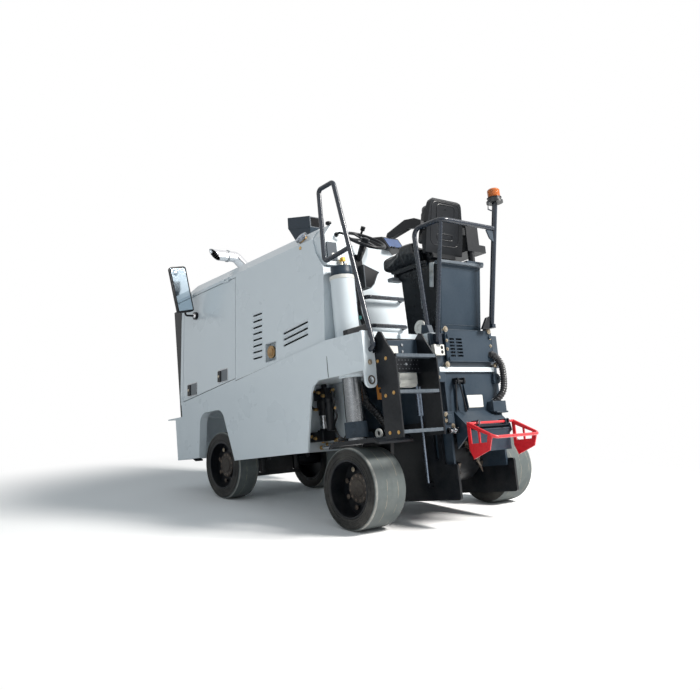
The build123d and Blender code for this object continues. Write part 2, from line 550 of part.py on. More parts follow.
def milling_drum():
    """Hollow drum with tool holders and picks set along two helices that meet in the middle."""
    drum = rod((DRUM_X, -DRUM_W / 2, DRUM_Z), (DRUM_X, DRUM_W / 2, DRUM_Z), DRUM_R, DRUM_R - DRUM_WALL)
    left_web = rod((DRUM_X, 195, DRUM_Z), (DRUM_X, 215, DRUM_Z), DRUM_R - DRUM_WALL + 1, GEARBOX_R + RUN)
    right_web = rod((DRUM_X, -215, DRUM_Z), (DRUM_X, -195, DRUM_Z), DRUM_R - DRUM_WALL + 1, BEARING_R + RUN)
    tools = []
    total = PICKS_PER_TURN * PICK_TURNS
    holder = Pos(DRUM_R + 12, 0, 0) * Box(46, 34, 40)
    pick = extrude(Plane(origin=(DRUM_R + 22, 0, 10), z_dir=(0.76, 0, 0.65)) * RegularPolygon(14, 6), 62, taper=9)
    tool = holder + pick
    for k in range(total):
        share = (k + 0.5) / total
        y = (share - 0.5) * (DRUM_W - 40)
        angle = 360 * abs(share - 0.5) * 2 * PICK_TURNS / 3 + 180 * (k % 2)
        tools.append(Pos(DRUM_X, y, DRUM_Z) * Rot(0, angle, 0) * tool)
    return (drum + left_web + right_web).fuse(*tools)


def skirt(side):
    """Side plate that slides up on two headed studs."""
    h = CHAMBER_HALF + GAP
    plate = slab_y([(SKIRT_FRONT_X, SKIRT_LOW_Z), (SKIRT_HEEL_X, SKIRT_LOW_Z), (SKIRT_HEEL_X, SKIRT_HEEL_Z),
                    (SKIRT_BACK_X, SKIRT_HEEL_Z), (SKIRT_BACK_X, SKIRT_TOP_Z), (SKIRT_FRONT_X, SKIRT_TOP_Z)],
                   side * h, side * (h + SKIRT))
    corners = plate.edges().filter_by(Axis.Y)
    plate = fillet([e for e in corners if e.center().Z < SKIRT_HEEL_Z + 5], 18)
    for x in STUD_X:
        r = STUD_R + RUN
        plate -= box(x - r, x + r, side * (h - 1), side * (h + SKIRT + 1), STUD_Z - SKIRT_TRAVEL, STUD_Z)
        for z in (STUD_Z, STUD_Z - SKIRT_TRAVEL):
            plate -= rod((x, side * (h - 1), z), (x, side * (h + SKIRT + 1), z), r)
    lug = box(ROD_X - 14, ROD_X + 14, side * (h + SKIRT - 1), side * (ROD_Y + 14), 232, 262)
    return plate + lug + rod((ROD_X, side * ROD_Y, 262), (ROD_X, side * ROD_Y, 800), 11)


ROD_X = -195.0
ROD_Y = 352.0
cylinders = None
for side in (1, -1):
    barrel = rod((ROD_X, side * ROD_Y, 735), (ROD_X, side * ROD_Y, 1034), 27, 11 + RUN)
    barrel += rod((ROD_X, side * ROD_Y, 1020), (ROD_X, side * ROD_Y, REAR_ARCH_Z), 22)
    if side < 0:
        barrel += box(ROD_X - 30, ROD_X + 30, -ROD_Y - 28, RIGHT_Y, REAR_ARCH_Z - 2, REAR_ARCH_Z + 38)
    cylinders = barrel if cylinders is None else cylinders + barrel
pieces["milling_chamber"] = milling_chamber()
pieces["milling_drum"] = milling_drum()
pieces["skirt_left"] = skirt(1)
pieces["skirt_right"] = skirt(-1)
pieces["skirt_cylinders"] = cylinders

# ---- rear: discharge hood, scraper door, cover and guard --------------------------------------------
DISCHARGE_HALF = 222.0
DISCHARGE_WALL = 12.0
MOUTH_X = -510.0
MOUTH_Z = 625.0
DOOR_PIN_R = 9.0
HINGE_BAR_X = MOUTH_X + 6
HINGE_BAR_Z = MOUTH_Z - 30


def discharge_hood():
    """Sloping lid over the rear mouth, with a cheek at each side that carries the scraper door's pin."""
    lid = slab_y([(TAIL_X, CHAMBER_MOUTH_Z), (MOUTH_X, MOUTH_Z + 4), (MOUTH_X + 6, MOUTH_Z - 8),
                  (TAIL_X, CHAMBER_MOUTH_Z - 18)], -DISCHARGE_HALF, DISCHARGE_HALF)
    for side in (1, -1):
        lid += slab_y([(TAIL_X, CHAMBER_MOUTH_Z), (MOUTH_X, MOUTH_Z + 4), (MOUTH_X - 10, HINGE_BAR_Z - 14),
                       (TAIL_X, 480)], side * DISCHARGE_HALF, side * (DISCHARGE_HALF + DISCHARGE_WALL))
        y = side * 150
        lid += box(MOUTH_X - 34, MOUTH_X + 30, y - 8, y + 8, MOUTH_Z, GUARD_Z + 18)
    reach = DISCHARGE_HALF + DISCHARGE_WALL + 5
    lid -= rod((HINGE_BAR_X, -reach, HINGE_BAR_Z), (HINGE_BAR_X, reach, HINGE_BAR_Z), DOOR_PIN_R + RUN)
    return lid - rod((GUARD_X, -reach, GUARD_Z), (GUARD_X, reach, GUARD_Z), GUARD_BAR_R + RUN)


GUARD_X, GUARD_Z = MOUTH_X - 18, MOUTH_Z + 20
GUARD_BAR_R = 9.0
pieces["discharge_hood"] = discharge_hood()
reach = DISCHARGE_HALF + DISCHARGE_WALL
door_pin = rod((HINGE_BAR_X, -reach, HINGE_BAR_Z), (HINGE_BAR_X, reach, HINGE_BAR_Z), DOOR_PIN_R)
pieces["scraper_door"] = door_pin + box(HINGE_BAR_X - 5, HINGE_BAR_X + 5, -DISCHARGE_HALF + GAP, DISCHARGE_HALF - GAP,
                                        445, HINGE_BAR_Z)

COVER_LOW_Z, COVER_TOP_Z = 1092.0, 1336.0
COVER_Y0, COVER_Y1 = -240.0, 266.0
cover = box(TAIL_X - 26, TAIL_X - 14, COVER_Y0, COVER_Y1, COVER_LOW_Z, COVER_TOP_Z - 10)
for k in range(6):
    z = COVER_TOP_Z - 74 - k * 24
    cover -= box(TAIL_X - 30, TAIL_X - 10, 94, 158, z - 14, z)
    cover -= box(TAIL_X - 30, TAIL_X - 10, 176, 226, z - 14, z)
for y in (COVER_Y0 + 25, COVER_Y1 - 25):
    for z in (COVER_LOW_Z + 22, FLOOR_Z - 22):
        cover += rod((TAIL_X - 15, y, z), (TAIL_X, y, z), 14) + rod((TAIL_X - 26, y, z), (TAIL_X - 36, y, z), 13)
pieces["rear_cover"] = cover

GUARD_HALF = DISCHARGE_HALF + DISCHARGE_WALL + GAP + 4
GUARD_OUT = -745.0
GUARD_OUT_Z = 535.0
guard = rod((GUARD_X, -GUARD_HALF, GUARD_Z), (GUARD_X, GUARD_HALF, GUARD_Z), GUARD_BAR_R)
guard += pipe([(GUARD_X, GUARD_HALF, GUARD_Z), (GUARD_OUT, GUARD_HALF, GUARD_OUT_Z),
               (GUARD_OUT, -GUARD_HALF, GUARD_OUT_Z), (GUARD_X, -GUARD_HALF, GUARD_Z)], 11, 40)
for side in (1, -1):
    y = side * GUARD_HALF
    cheek = slab_y([(GUARD_X + 12, GUARD_Z + 12), (GUARD_X - 200, 548), (GUARD_X - 165, 452), (GUARD_X - 20, 400),
                    (GUARD_X + 12, 470)], y - 4, y + 4)
    cheek -= slab_y([(GUARD_X - 14, GUARD_Z - 30), (GUARD_X - 78, GUARD_Z - 58), (GUARD_X - 78, 505),
                     (GUARD_X - 14, 505)], y - 9, y + 9)
    cheek -= slab_y([(GUARD_X - 92, GUARD_Z - 64), (GUARD_X - 160, GUARD_Z - 92), (GUARD_X - 148, 505),
                     (GUARD_X - 92, 505)], y - 9, y + 9)
    guard += cheek
pieces["guard_frame"] = guard

# ---- operator's station ----------------------------------------------------------------------------
POST_LEAN = 0.19               # posts lean back this much per millimetre of height
PED_Y0, PED_Y1 = -205.0, 235.0


def leaned(x, z):
    return x - POST_LEAN * (z - COVER_TOP_Z)


pedestal = slab_y([(-362, FLOOR_Z), (-35, FLOOR_Z), (-35, 1400), (-22, PEDESTAL_TOP_Z - 55), (10, PEDESTAL_TOP_Z - 30),
                   (10, PEDESTAL_TOP_Z), (-430, PEDESTAL_TOP_Z), (-362, COVER_TOP_Z)], PED_Y0, PED_Y1)
pedestal += box(-455, -320, PED_Y0 - 14, PED_Y0 + 170, PEDESTAL_TOP_Z, PEDESTAL_TOP_Z + 22)
pedestal += box(-290, 30, SEAT_Y - 150, SEAT_Y + 150, PEDESTAL_TOP_Z, SEAT_Z - 0.3)
pieces["seat_pedestal"] = pedestal
BACK_THICK = 30.0
cushion = box(SEAT_BACK_X + 70, 130, SEAT_Y - SEAT_W / 2, SEAT_Y + SEAT_W / 2, SEAT_Z, SEAT_Z + 110)
cushion = fillet(cushion.edges(), 36)
BOLSTER = [(112, SEAT_Z + 30), (92, SEAT_Z + 44), (20, SEAT_Z + 100), (-110, SEAT_Z + 153), (-232, SEAT_Z + 153),
           (-258, SEAT_Z + 112), (-262, SEAT_Z + 40)]
for side in (1, -1):
    cushion += slab_y(BOLSTER, SEAT_Y + side * (SEAT_W / 2 - 66), SEAT_Y + side * (SEAT_W / 2 - 1))
back_pad = slab_y([(SEAT_BACK_X + BACK_THICK + 1, SEAT_Z + 115), (SEAT_BACK_X + 110, SEAT_Z + 115),
                   (SEAT_BACK_X + 45, 2290), (SEAT_BACK_X - 33, 2290)], SEAT_Y - 185, SEAT_Y + 185)
BACK_SHAPE = rounded([(-195, SEAT_Z), (-195, 2070), (-158, 2312), (158, 2312), (195, 2070), (195, SEAT_Z)], 62)
back_pad = fillet(back_pad.edges(), 26)
back_pad = back_pad & slab_x([(SEAT_Y + y * 0.93, z - 12) for y, z in BACK_SHAPE], SEAT_BACK_X - 150, SEAT_BACK_X + 150)
shell = slab_y([(SEAT_BACK_X, SEAT_Z + 40), (SEAT_BACK_X + BACK_THICK, SEAT_Z + 40),
                (SEAT_BACK_X + BACK_THICK, SEAT_Z + 115), (SEAT_BACK_X - 34, 2290), (SEAT_BACK_X - 64, 2310),
                (SEAT_BACK_X - 76, 2290)], SEAT_Y - 195, SEAT_Y + 195)
shell = fillet(shell.edges().filter_by(Axis.Y), 8)
shell = shell & slab_x([(SEAT_Y + y, z) for y, z in BACK_SHAPE], SEAT_BACK_X - 150, SEAT_BACK_X + 150)
shell += box(SEAT_BACK_X, SEAT_BACK_X + 69, SEAT_Y - 120, SEAT_Y + 120, SEAT_Z + 10, SEAT_Z + 60)
shell += box(SEAT_BACK_X + 40, -290, SEAT_Y - 120, SEAT_Y + 120, PEDESTAL_TOP_Z, SEAT_Z + 20)
ARMREST = [(SEAT_BACK_X - 22, 2132), (SEAT_BACK_X + 40, 2168), (SEAT_BACK_X + 140, 2184), (SEAT_BACK_X + 335, 2137),
           (SEAT_BACK_X + 350, 2114), (SEAT_BACK_X + 310, 2088), (SEAT_BACK_X + 120, 2112), (SEAT_BACK_X - 22, 2075)]
for side in (1, -1):
    y = SEAT_Y + side * (SEAT_W / 2 + 6)
    arm = slab_y(ARMREST, y - 22, y + 22)
    arm += box(SEAT_BACK_X - 22, SEAT_BACK_X, SEAT_Y + side * 190, y, 2085, 2125)
    shell += arm
pieces["seat_shell"] = shell
pieces["seat_cushion"] = cushion
pieces["seat_back_pad"] = back_pad

ARM_Y0, ARM_Y1 = -290.0, -152.0
console = slab_y([(-380, 2012), (-120, 2012), (-105, 2045), (-120, 2150), (-200, 2170), (-380, 2165)], ARM_Y0, ARM_Y1)
console += box(-380, -110, ARM_Y0 - 70, ARM_Y1, 1955, 2012)
console += rod((-350, -215, PEDESTAL_TOP_Z + 22), (-350, -215, 1955), 26)
console += box(-392, -308, -245, -185, PEDESTAL_TOP_Z + 22, PEDESTAL_TOP_Z + 34)
stick = (-165, -222)
console += rod((*stick, 2150), (*stick, 2195), 11) + rod((*stick, 2193), (*stick, 2240), 20)
pieces["control_console"] = console
PANEL_Y0, PANEL_Y1 = -300.0, -110.0
instruments = slab_y([(430, HOOD_REAR_X - 500 + HOOD_TOP_Z), (505, HOOD_TOP_Z + 120), (640, HOOD_TOP_Z + 150),
                      (680, HOOD_TOP_Z + 120), (680, HOOD_TOP_Z)], PANEL_Y0, PANEL_Y1)
pieces["instrument_panel"] = instruments

# steering column, dashboard and wheel
tilt = math.radians(WHEEL_TILT)
axis_dir = Vector(-math.sin(tilt), 0, math.cos(tilt))
hub = Vector(WHEEL_X, WHEEL_Y, WHEEL_Z)
low = hub - axis_dir * ((HOOD_REAR_X - 22 - WHEEL_X) / math.sin(tilt))
column = rod(tuple(hub - axis_dir * 20.5), tuple(low), 20)
column += box(HOOD_REAR_X - 26, HOOD_REAR_X, WHEEL_Y - 32, WHEEL_Y + 32, 1950, low.Z + 40)
DASH_X = 360.0
column += slab_x([(261, 2001), (95, 1950), (121, 1923), (164, 1845), (204, 1809), (261, 1813)], DASH_X, HOOD_REAR_X - 10)
pieces["steering_column"] = column
ring_plane = Plane(origin=hub, z_dir=axis_dir)
ring = ring_plane * Torus(WHEEL_R - 13, 13)
spoke = ring_plane * Box(2 * WHEEL_R - 30, 26, 10)
spoke += ring_plane * (Pos(0, (WHEEL_R - 13) / 2, 0) * Box(26, WHEEL_R - 13, 10))
boss = extrude(Plane(origin=hub - axis_dir * 30, z_dir=axis_dir) * Circle(34), 45)
KNOB_AT = math.radians(-25)    # round the rim from its front
ahead = Vector(math.cos(tilt), 0, math.sin(tilt))
knob_foot = hub + (ahead * math.cos(KNOB_AT) + Vector(0, 1, 0) * math.sin(KNOB_AT)) * (WHEEL_R - 13)
knob = extrude(Plane(origin=knob_foot + axis_dir * 10, z_dir=axis_dir) * Circle(9), 35)
knob += extrude(Plane(origin=knob_foot + axis_dir * 40, z_dir=axis_dir) * Circle(19), 34)
pieces["steering_wheel"] = (ring + spoke + boss + knob
                            - extrude(Plane(origin=hub - axis_dir * 40, z_dir=axis_dir) * Circle(20 + RUN), 20))

# rails, ladder, beacon
KNEE_X = HOOD_REAR_X - 60
knee = None
for z, y0, y1 in ((1760, -240, 185), (1524, -240, 165)):
    bar = pipe([(HOOD_REAR_X, y1, z), (KNEE_X, y1, z), (KNEE_X, y0, z), (HOOD_REAR_X, y0, z)], RAIL_R, 42)
    knee = bar if knee is None else knee + bar
pieces["knee_rails"] = knee

RAIL_Y, POLE_Y = 356.0, -224.0
RAIL_TOP_Z = 2075.0
POLE_TOP_Z = 2265.0
rail = box(-385, -325, RAIL_Y - 30, RAIL_Y + 30, FLOOR_Z, FLOOR_Z + 8)
rail += pipe([(-355, RAIL_Y, FLOOR_Z + 3), (-318, RAIL_Y, RAIL_TOP_Z), (leaned(-450, RAIL_TOP_Z), RAIL_Y, RAIL_TOP_Z),
             (leaned(-450, RAIL_TOP_Z), POLE_Y, RAIL_TOP_Z)], RAIL_R, 60)
rail += rod((leaned(-450, 1230), RAIL_Y, 1230),
            (leaned(-450, RAIL_TOP_Z) + 18, RAIL_Y - 18, RAIL_TOP_Z), RAIL_R - 2)
rail += rod((leaned(-450, 1350), POLE_Y, 1350), (leaned(-450, POLE_TOP_Z), POLE_Y, POLE_TOP_Z), RAIL_R + 3)
rail += box(-450, TAIL_X, RAIL_Y - 30, RAIL_Y + 6, 1210, 1290)
rail += box(-480, TAIL_X + 20, POLE_Y - 18, POLE_Y + 18, 1342, 1372)
rail += box(TAIL_X, TAIL_X + 20, POLE_Y - 18, POLE_Y + 18, FLOOR_Z, 1345)
bx = leaned(-450, POLE_TOP_Z)
rail += rod((bx, POLE_Y, POLE_TOP_Z - 4), (bx, POLE_Y, POLE_TOP_Z + 12), 62)
rail += rod((bx, POLE_Y, POLE_TOP_Z + 12), (bx, POLE_Y, POLE_TOP_Z + 34), 52)
pieces["rear_rail"] = rail
lens = rod((bx, POLE_Y, POLE_TOP_Z + 34), (bx, POLE_Y, POLE_TOP_Z + 110), 44)
pieces["beacon_lens"] = fillet(lens.edges().sort_by(Axis.Z)[-1:], 16)

HANDRAIL_Y = 893.0
END_PLATE_X = FENDER_TAIL_X - 20
pieces["left_handrail"] = pipe([(END_PLATE_X, HANDRAIL_Y, 1185), (END_PLATE_X - 44, HANDRAIL_Y, 1185),
                                (-105, HANDRAIL_Y, 2425), (65, HANDRAIL_Y, 2420), (70, HANDRAIL_Y, 1885),
                                (-205, HANDRAIL_Y, 1915)], RAIL_R, 32)

LADDER_L, LADDER_R = 850.0, 470.0
LADDER_T = 12.0


def stringer(y):
    return slab_y([(END_PLATE_X, 1250), (-372, 1298), (-402, 1288), (-432, 1228), (-515, 1100), (-515, 588), (-347, 588),
                   (-347, 930), (END_PLATE_X, 930)], y - LADDER_T / 2, y + LADDER_T / 2)


ladder = stringer(LADDER_L) + stringer(LADDER_R)
for z in (1118, 880, 622):     # rungs
    ladder += box(-512, -452, LADDER_R, LADDER_L, z - 11, z + 11)
ladder += box(END_PLATE_X - 20, END_PLATE_X, LADDER_R - 4, 872, 1160, 1260)
pieces["ladder"] = ladder

# ---- fittings --------------------------------------------------------------------------------------
EXHAUST_X = 1700.0
EXHAUST_Y = 425.0
EXHAUST_R = 49.0
EXHAUST_Z = HOOD_TOP_Z + 190   # centre line of the outlet that points to the left
EXHAUST_END = 880.0
stack = rod((EXHAUST_X, EXHAUST_Y, HOOD_TOP_Z), (EXHAUST_X, EXHAUST_Y, HOOD_TOP_Z + 12), EXHAUST_R + 19)
stack += pipe([(EXHAUST_X, EXHAUST_Y, HOOD_TOP_Z), (EXHAUST_X, EXHAUST_Y, HOOD_TOP_Z + 30),
               (EXHAUST_X, EXHAUST_Y + 175, EXHAUST_Z), (EXHAUST_X, EXHAUST_END, EXHAUST_Z)], EXHAUST_R, 60)
stack -= slab_x([(EXHAUST_END - 20, EXHAUST_Z + EXHAUST_R + 1), (EXHAUST_END + 10, EXHAUST_Z + EXHAUST_R + 1),
                 (EXHAUST_END + 10, EXHAUST_Z - EXHAUST_R - 1), (EXHAUST_END - 112, EXHAUST_Z - EXHAUST_R - 1)],
                EXHAUST_X - 60, EXHAUST_X + 60)
stack -= rod((EXHAUST_X, EXHAUST_END - 190, EXHAUST_Z), (EXHAUST_X, EXHAUST_END + 10, EXHAUST_Z), EXHAUST_R - 4)
pieces["exhaust_pipe"] = stack
INTAKE = [(567, 224), (857, 294), (861, 204), (720, 0), (600, 0), (567, 135)]     # X, and Z above the hood
pieces["air_intake"] = slab_y([(x, HOOD_TOP_Z + up) for x, up in INTAKE], 460, 600)

MIRROR_X = 1950.0
glass_plate = slab_x([(976, 2330), (1138, 2306), (1075, 1892), (915, 1918)], MIRROR_X, MIRROR_X + 30)
glass_plate = fillet(glass_plate.edges().filter_by(Axis.X), 26)
arm = pipe([(MIRROR_X + 20, 1010, 2200), (MIRROR_X + 48, 1010, 2180), (MIRROR_X + 48, 978, 1885),
            (MIRROR_X + 48, 860, 1885)], 9, 18)
arm += rod((MIRROR_X + 48, 892, 1885), (MIRROR_X + 48, 862, 1885), 34)
pieces["mirror"] = glass_plate + arm - door_block

filters = None
for x, y, r, z0, z1 in ((360, 700, 38, 700, 930), (450, 690, 30, 660, 900), (470, 790, 26, 700, 860)):
    can = rod((x, y, z0), (x, y, z1), r) + rod((x, y, z1), (x, y, z1 + 30), r + 8)
    can += rod((x, y, z1 + 30), (x, y, REAR_ARCH_Z), 10)
    filters = can if filters is None else filters + can
filters += box(330, 520, 640, 820, 960, 990)
hose = pipe([(-40, 440, REAR_ARCH_Z), (-40, 440, 900), (40, 440, 640), (220, 440, 610), (BULKHEAD_X, 440, 610)], 28, 80)
rear_hose = pipe([(TAIL_X, -300, 1180), (TAIL_X - 60, -300, 1180), (TAIL_X - 60, -300, 980), (TAIL_X - 40, -270, 800),
                  (TAIL_X, -270, 800)], 24, 28)


pieces["hydraulics"] = filters + hose + rear_hose


# ---- place and write -------------------------------------------------------------------------------
def stand(shape):
    leaning = shape.rotate(Axis((0, 0, TYRE_R), (0, 1, 0)), LEAN)
    return Pos(-ORIGIN_X, -ORIGIN_Y, 0) * leaning


os.makedirs("parts", exist_ok=True)
for name, shape in pieces.items():
    export_step(stand(shape), f"parts/{name}.step")
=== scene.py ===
import math

import bmesh
import bpy
import mathutils
import numpy as np
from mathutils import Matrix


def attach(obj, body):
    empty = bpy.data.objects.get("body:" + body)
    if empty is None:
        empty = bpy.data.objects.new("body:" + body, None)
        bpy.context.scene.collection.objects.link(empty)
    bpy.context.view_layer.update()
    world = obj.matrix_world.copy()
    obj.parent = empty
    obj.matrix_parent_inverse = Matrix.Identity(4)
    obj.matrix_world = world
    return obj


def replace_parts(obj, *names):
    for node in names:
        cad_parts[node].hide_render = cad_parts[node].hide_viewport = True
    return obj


bl_info = {
    "name": "Cold planer",
    "version": (1, 0, 0),
    "blender": (4, 5, 0),
    "location": "3D View > Sidebar > Planer",
    "description": "Dresses a small road milling machine with its trim, fittings and finishes",
    "category": "Object",
}

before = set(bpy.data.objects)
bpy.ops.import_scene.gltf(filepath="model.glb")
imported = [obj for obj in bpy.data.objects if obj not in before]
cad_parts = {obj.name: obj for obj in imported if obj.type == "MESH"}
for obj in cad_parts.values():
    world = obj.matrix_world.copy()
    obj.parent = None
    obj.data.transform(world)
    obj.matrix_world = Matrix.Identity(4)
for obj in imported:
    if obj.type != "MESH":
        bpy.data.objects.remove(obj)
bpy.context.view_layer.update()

LEAN = math.radians(8.38)
AXLE_Z = 0.2795
SHIFT = np.array([-0.965, -0.103, 0.0])
TURN = np.array([[math.cos(LEAN), 0, math.sin(LEAN)], [0, 1, 0], [-math.sin(LEAN), 0, math.cos(LEAN)]])


def stand(points):
    """Turns points of the level frame nose-down about the rear axle and moves them to the shared origin."""
    return (np.asarray(points, float) - (0, 0, AXLE_Z)) @ TURN.T + (0, 0, AXLE_Z) + SHIFT


def lie(points):
    """The same points back in the level frame."""
    return (np.asarray(points, float) - SHIFT - (0, 0, AXLE_Z)) @ TURN + (0, 0, AXLE_Z)


# ---- shapes: each returns (points, faces) in the level frame -----------------------------------------
def quads(n, m, loop):
    """Quads joining point (i, j) of an n by m grid to its neighbours: j always wraps, and loop wraps i."""
    ids = np.arange(n * m).reshape(n, m)
    near, far = (ids, np.roll(ids, -1, 0)) if loop else (ids[:-1], ids[1:])
    cells = np.stack([near, np.roll(near, -1, 1), np.roll(far, -1, 1), far], -1)
    return cells.reshape(-1, 4).tolist()


def solid(rings, loop=False):
    """Rings of points joined in order, closed by a flat face at each end unless they form a loop."""
    n, m = rings.shape[:2]
    faces = quads(n, m, loop)
    if not loop:
        faces += [list(range(m)), list(range((n - 1) * m, n * m))]
    return rings.reshape(-1, 3), faces


def basis(axis):
    """Two unit vectors square to the axis and to each other."""
    w = np.asarray(axis, float) / np.linalg.norm(axis)
    helper = np.array([0, 0, 1.0]) if abs(w[2]) < 0.9 else np.array([1.0, 0, 0])
    u = np.cross(helper, w)
    u /= np.linalg.norm(u)
    return u, np.cross(w, u), w


def lathe(profile, centre, axis, sides=40, loop=False):
    """Point (i, j) = centre + height_i * axis + radius_i * (cos a_j * u + sin a_j * v)."""
    u, v, w = basis(axis)
    radius, height = np.asarray(profile, float).T
    turn = np.linspace(0, 2 * math.pi, sides, endpoint=False)
    circle = np.cos(turn)[:, None] * u + np.sin(turn)[:, None] * v
    rings = np.asarray(centre, float) + height[:, None, None] * w + radius[:, None, None] * circle
    return solid(rings, loop)


def prism(outline, across, low, high):
    """An outline in the two axes other than `across`, carried along it from low to high."""
    flat = np.asarray(outline, float)
    rings = np.insert(np.stack([flat, flat]), across, 0.0, axis=2)
    rings[0, :, across], rings[1, :, across] = low, high
    return solid(rings)


def brick(x0, x1, y0, y1, z0, z1):
    """A rectangle in X and Y carried up from z0 to z1."""
    return prism([(x0, y0), (x1, y0), (x1, y1), (x0, y1)], 2, z0, z1)


def curve(points, steps=8):
    """A smooth line through the points: cubic pieces whose end slopes come from the neighbouring points."""
    p = np.asarray(points, float)
    ends = np.vstack([2 * p[0] - p[1], p, 2 * p[-1] - p[-2]])
    a, b, c, d = ends[:-3, None], ends[1:-2, None], ends[2:-1, None], ends[3:, None]
    t = np.linspace(0, 1, steps, endpoint=False)[None, :, None]
    bend, twist = 2 * a - 5 * b + 4 * c - d, 3 * b - a - 3 * c + d
    body = 0.5 * (2 * b + (c - a) * t + bend * t ** 2 + twist * t ** 3)
    return np.vstack([body.reshape(-1, 3), p[-1]])


TUBE_HELPER = (0.31, 0.27, 0.91)


def tube(path, radius, sides=12, ripple=0.0, pitch=0.02):
    """A circle carried along a line; its radius may ripple along the length, as a corrugated hose does."""
    p = np.asarray(path, float)
    along = np.gradient(p, axis=0)
    along /= np.linalg.norm(along, axis=1, keepdims=True)
    side = np.cross(along, TUBE_HELPER)
    side /= np.linalg.norm(side, axis=1, keepdims=True)
    up = np.cross(side, along)
    length = np.concatenate([[0], np.cumsum(np.linalg.norm(np.diff(p, axis=0), axis=1))])
    r = radius + ripple * np.sin(2 * math.pi * length / pitch)
    turn = np.linspace(0, 2 * math.pi, sides, endpoint=False)
    circle = np.cos(turn)[:, None] * side[:, None] + np.sin(turn)[:, None] * up[:, None]
    return solid(p[:, None] + r[:, None, None] * circle)


def resample(path, step):
    """Evenly spaced points along a line, by its length."""
    p = np.asarray(path, float)
    length = np.concatenate([[0], np.cumsum(np.linalg.norm(np.diff(p, axis=0), axis=1))])
    want = np.linspace(0, length[-1], max(3, int(length[-1] / step) + 1))
    return np.stack([np.interp(want, length, p[:, k]) for k in range(3)], 1)


def bolt(centre, axis, radius=0.011, head=0.008, washer=True):
    """A six-sided head on a thin washer."""
    shapes = [lathe([(radius, 0), (radius, head * 0.8), (radius * 0.85, head)], centre, axis, 6)]
    if washer:
        shapes.append(lathe([(radius * 1.55, 0), (radius * 1.55, head * 0.25)], centre, axis, 20))
    return shapes


# ---- pieces ------------------------------------------------------------------------------------------
SAME_POINT = 1e-6
SHARP_ANGLE, BEVEL_ANGLE = math.radians(32), math.radians(35)


def piece(name, shapes, look, body="machine", bevel=0.0):
    """One object from several shapes, outward faces, placed in the shared frame and riding on a body."""
    points, faces, start = [], [], 0
    for verts, polys in shapes:
        points.append(verts)
        faces += [[k + start for k in poly] for poly in polys]
        start += len(verts)
    mesh = bpy.data.meshes.new(name)
    mesh.from_pydata(stand(np.vstack(points)), [], faces)
    joined = bmesh.new()
    joined.from_mesh(mesh)
    bmesh.ops.remove_doubles(joined, verts=joined.verts, dist=SAME_POINT)
    bmesh.ops.recalc_face_normals(joined, faces=joined.faces)
    joined.to_mesh(mesh)
    joined.free()
    item = bpy.data.objects.new(name, mesh)
    bpy.context.scene.collection.objects.link(item)
    mesh.materials.append(finish(look))
    mesh.shade_smooth()
    mesh.set_sharp_from_angle(angle=SHARP_ANGLE)
    if bevel:
        mod = item.modifiers.new("edge", "BEVEL")
        mod.width, mod.segments, mod.limit_method, mod.angle_limit = bevel, 2, "ANGLE", BEVEL_ANGLE
        mod.harden_normals = False
    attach(item, body)
    return item


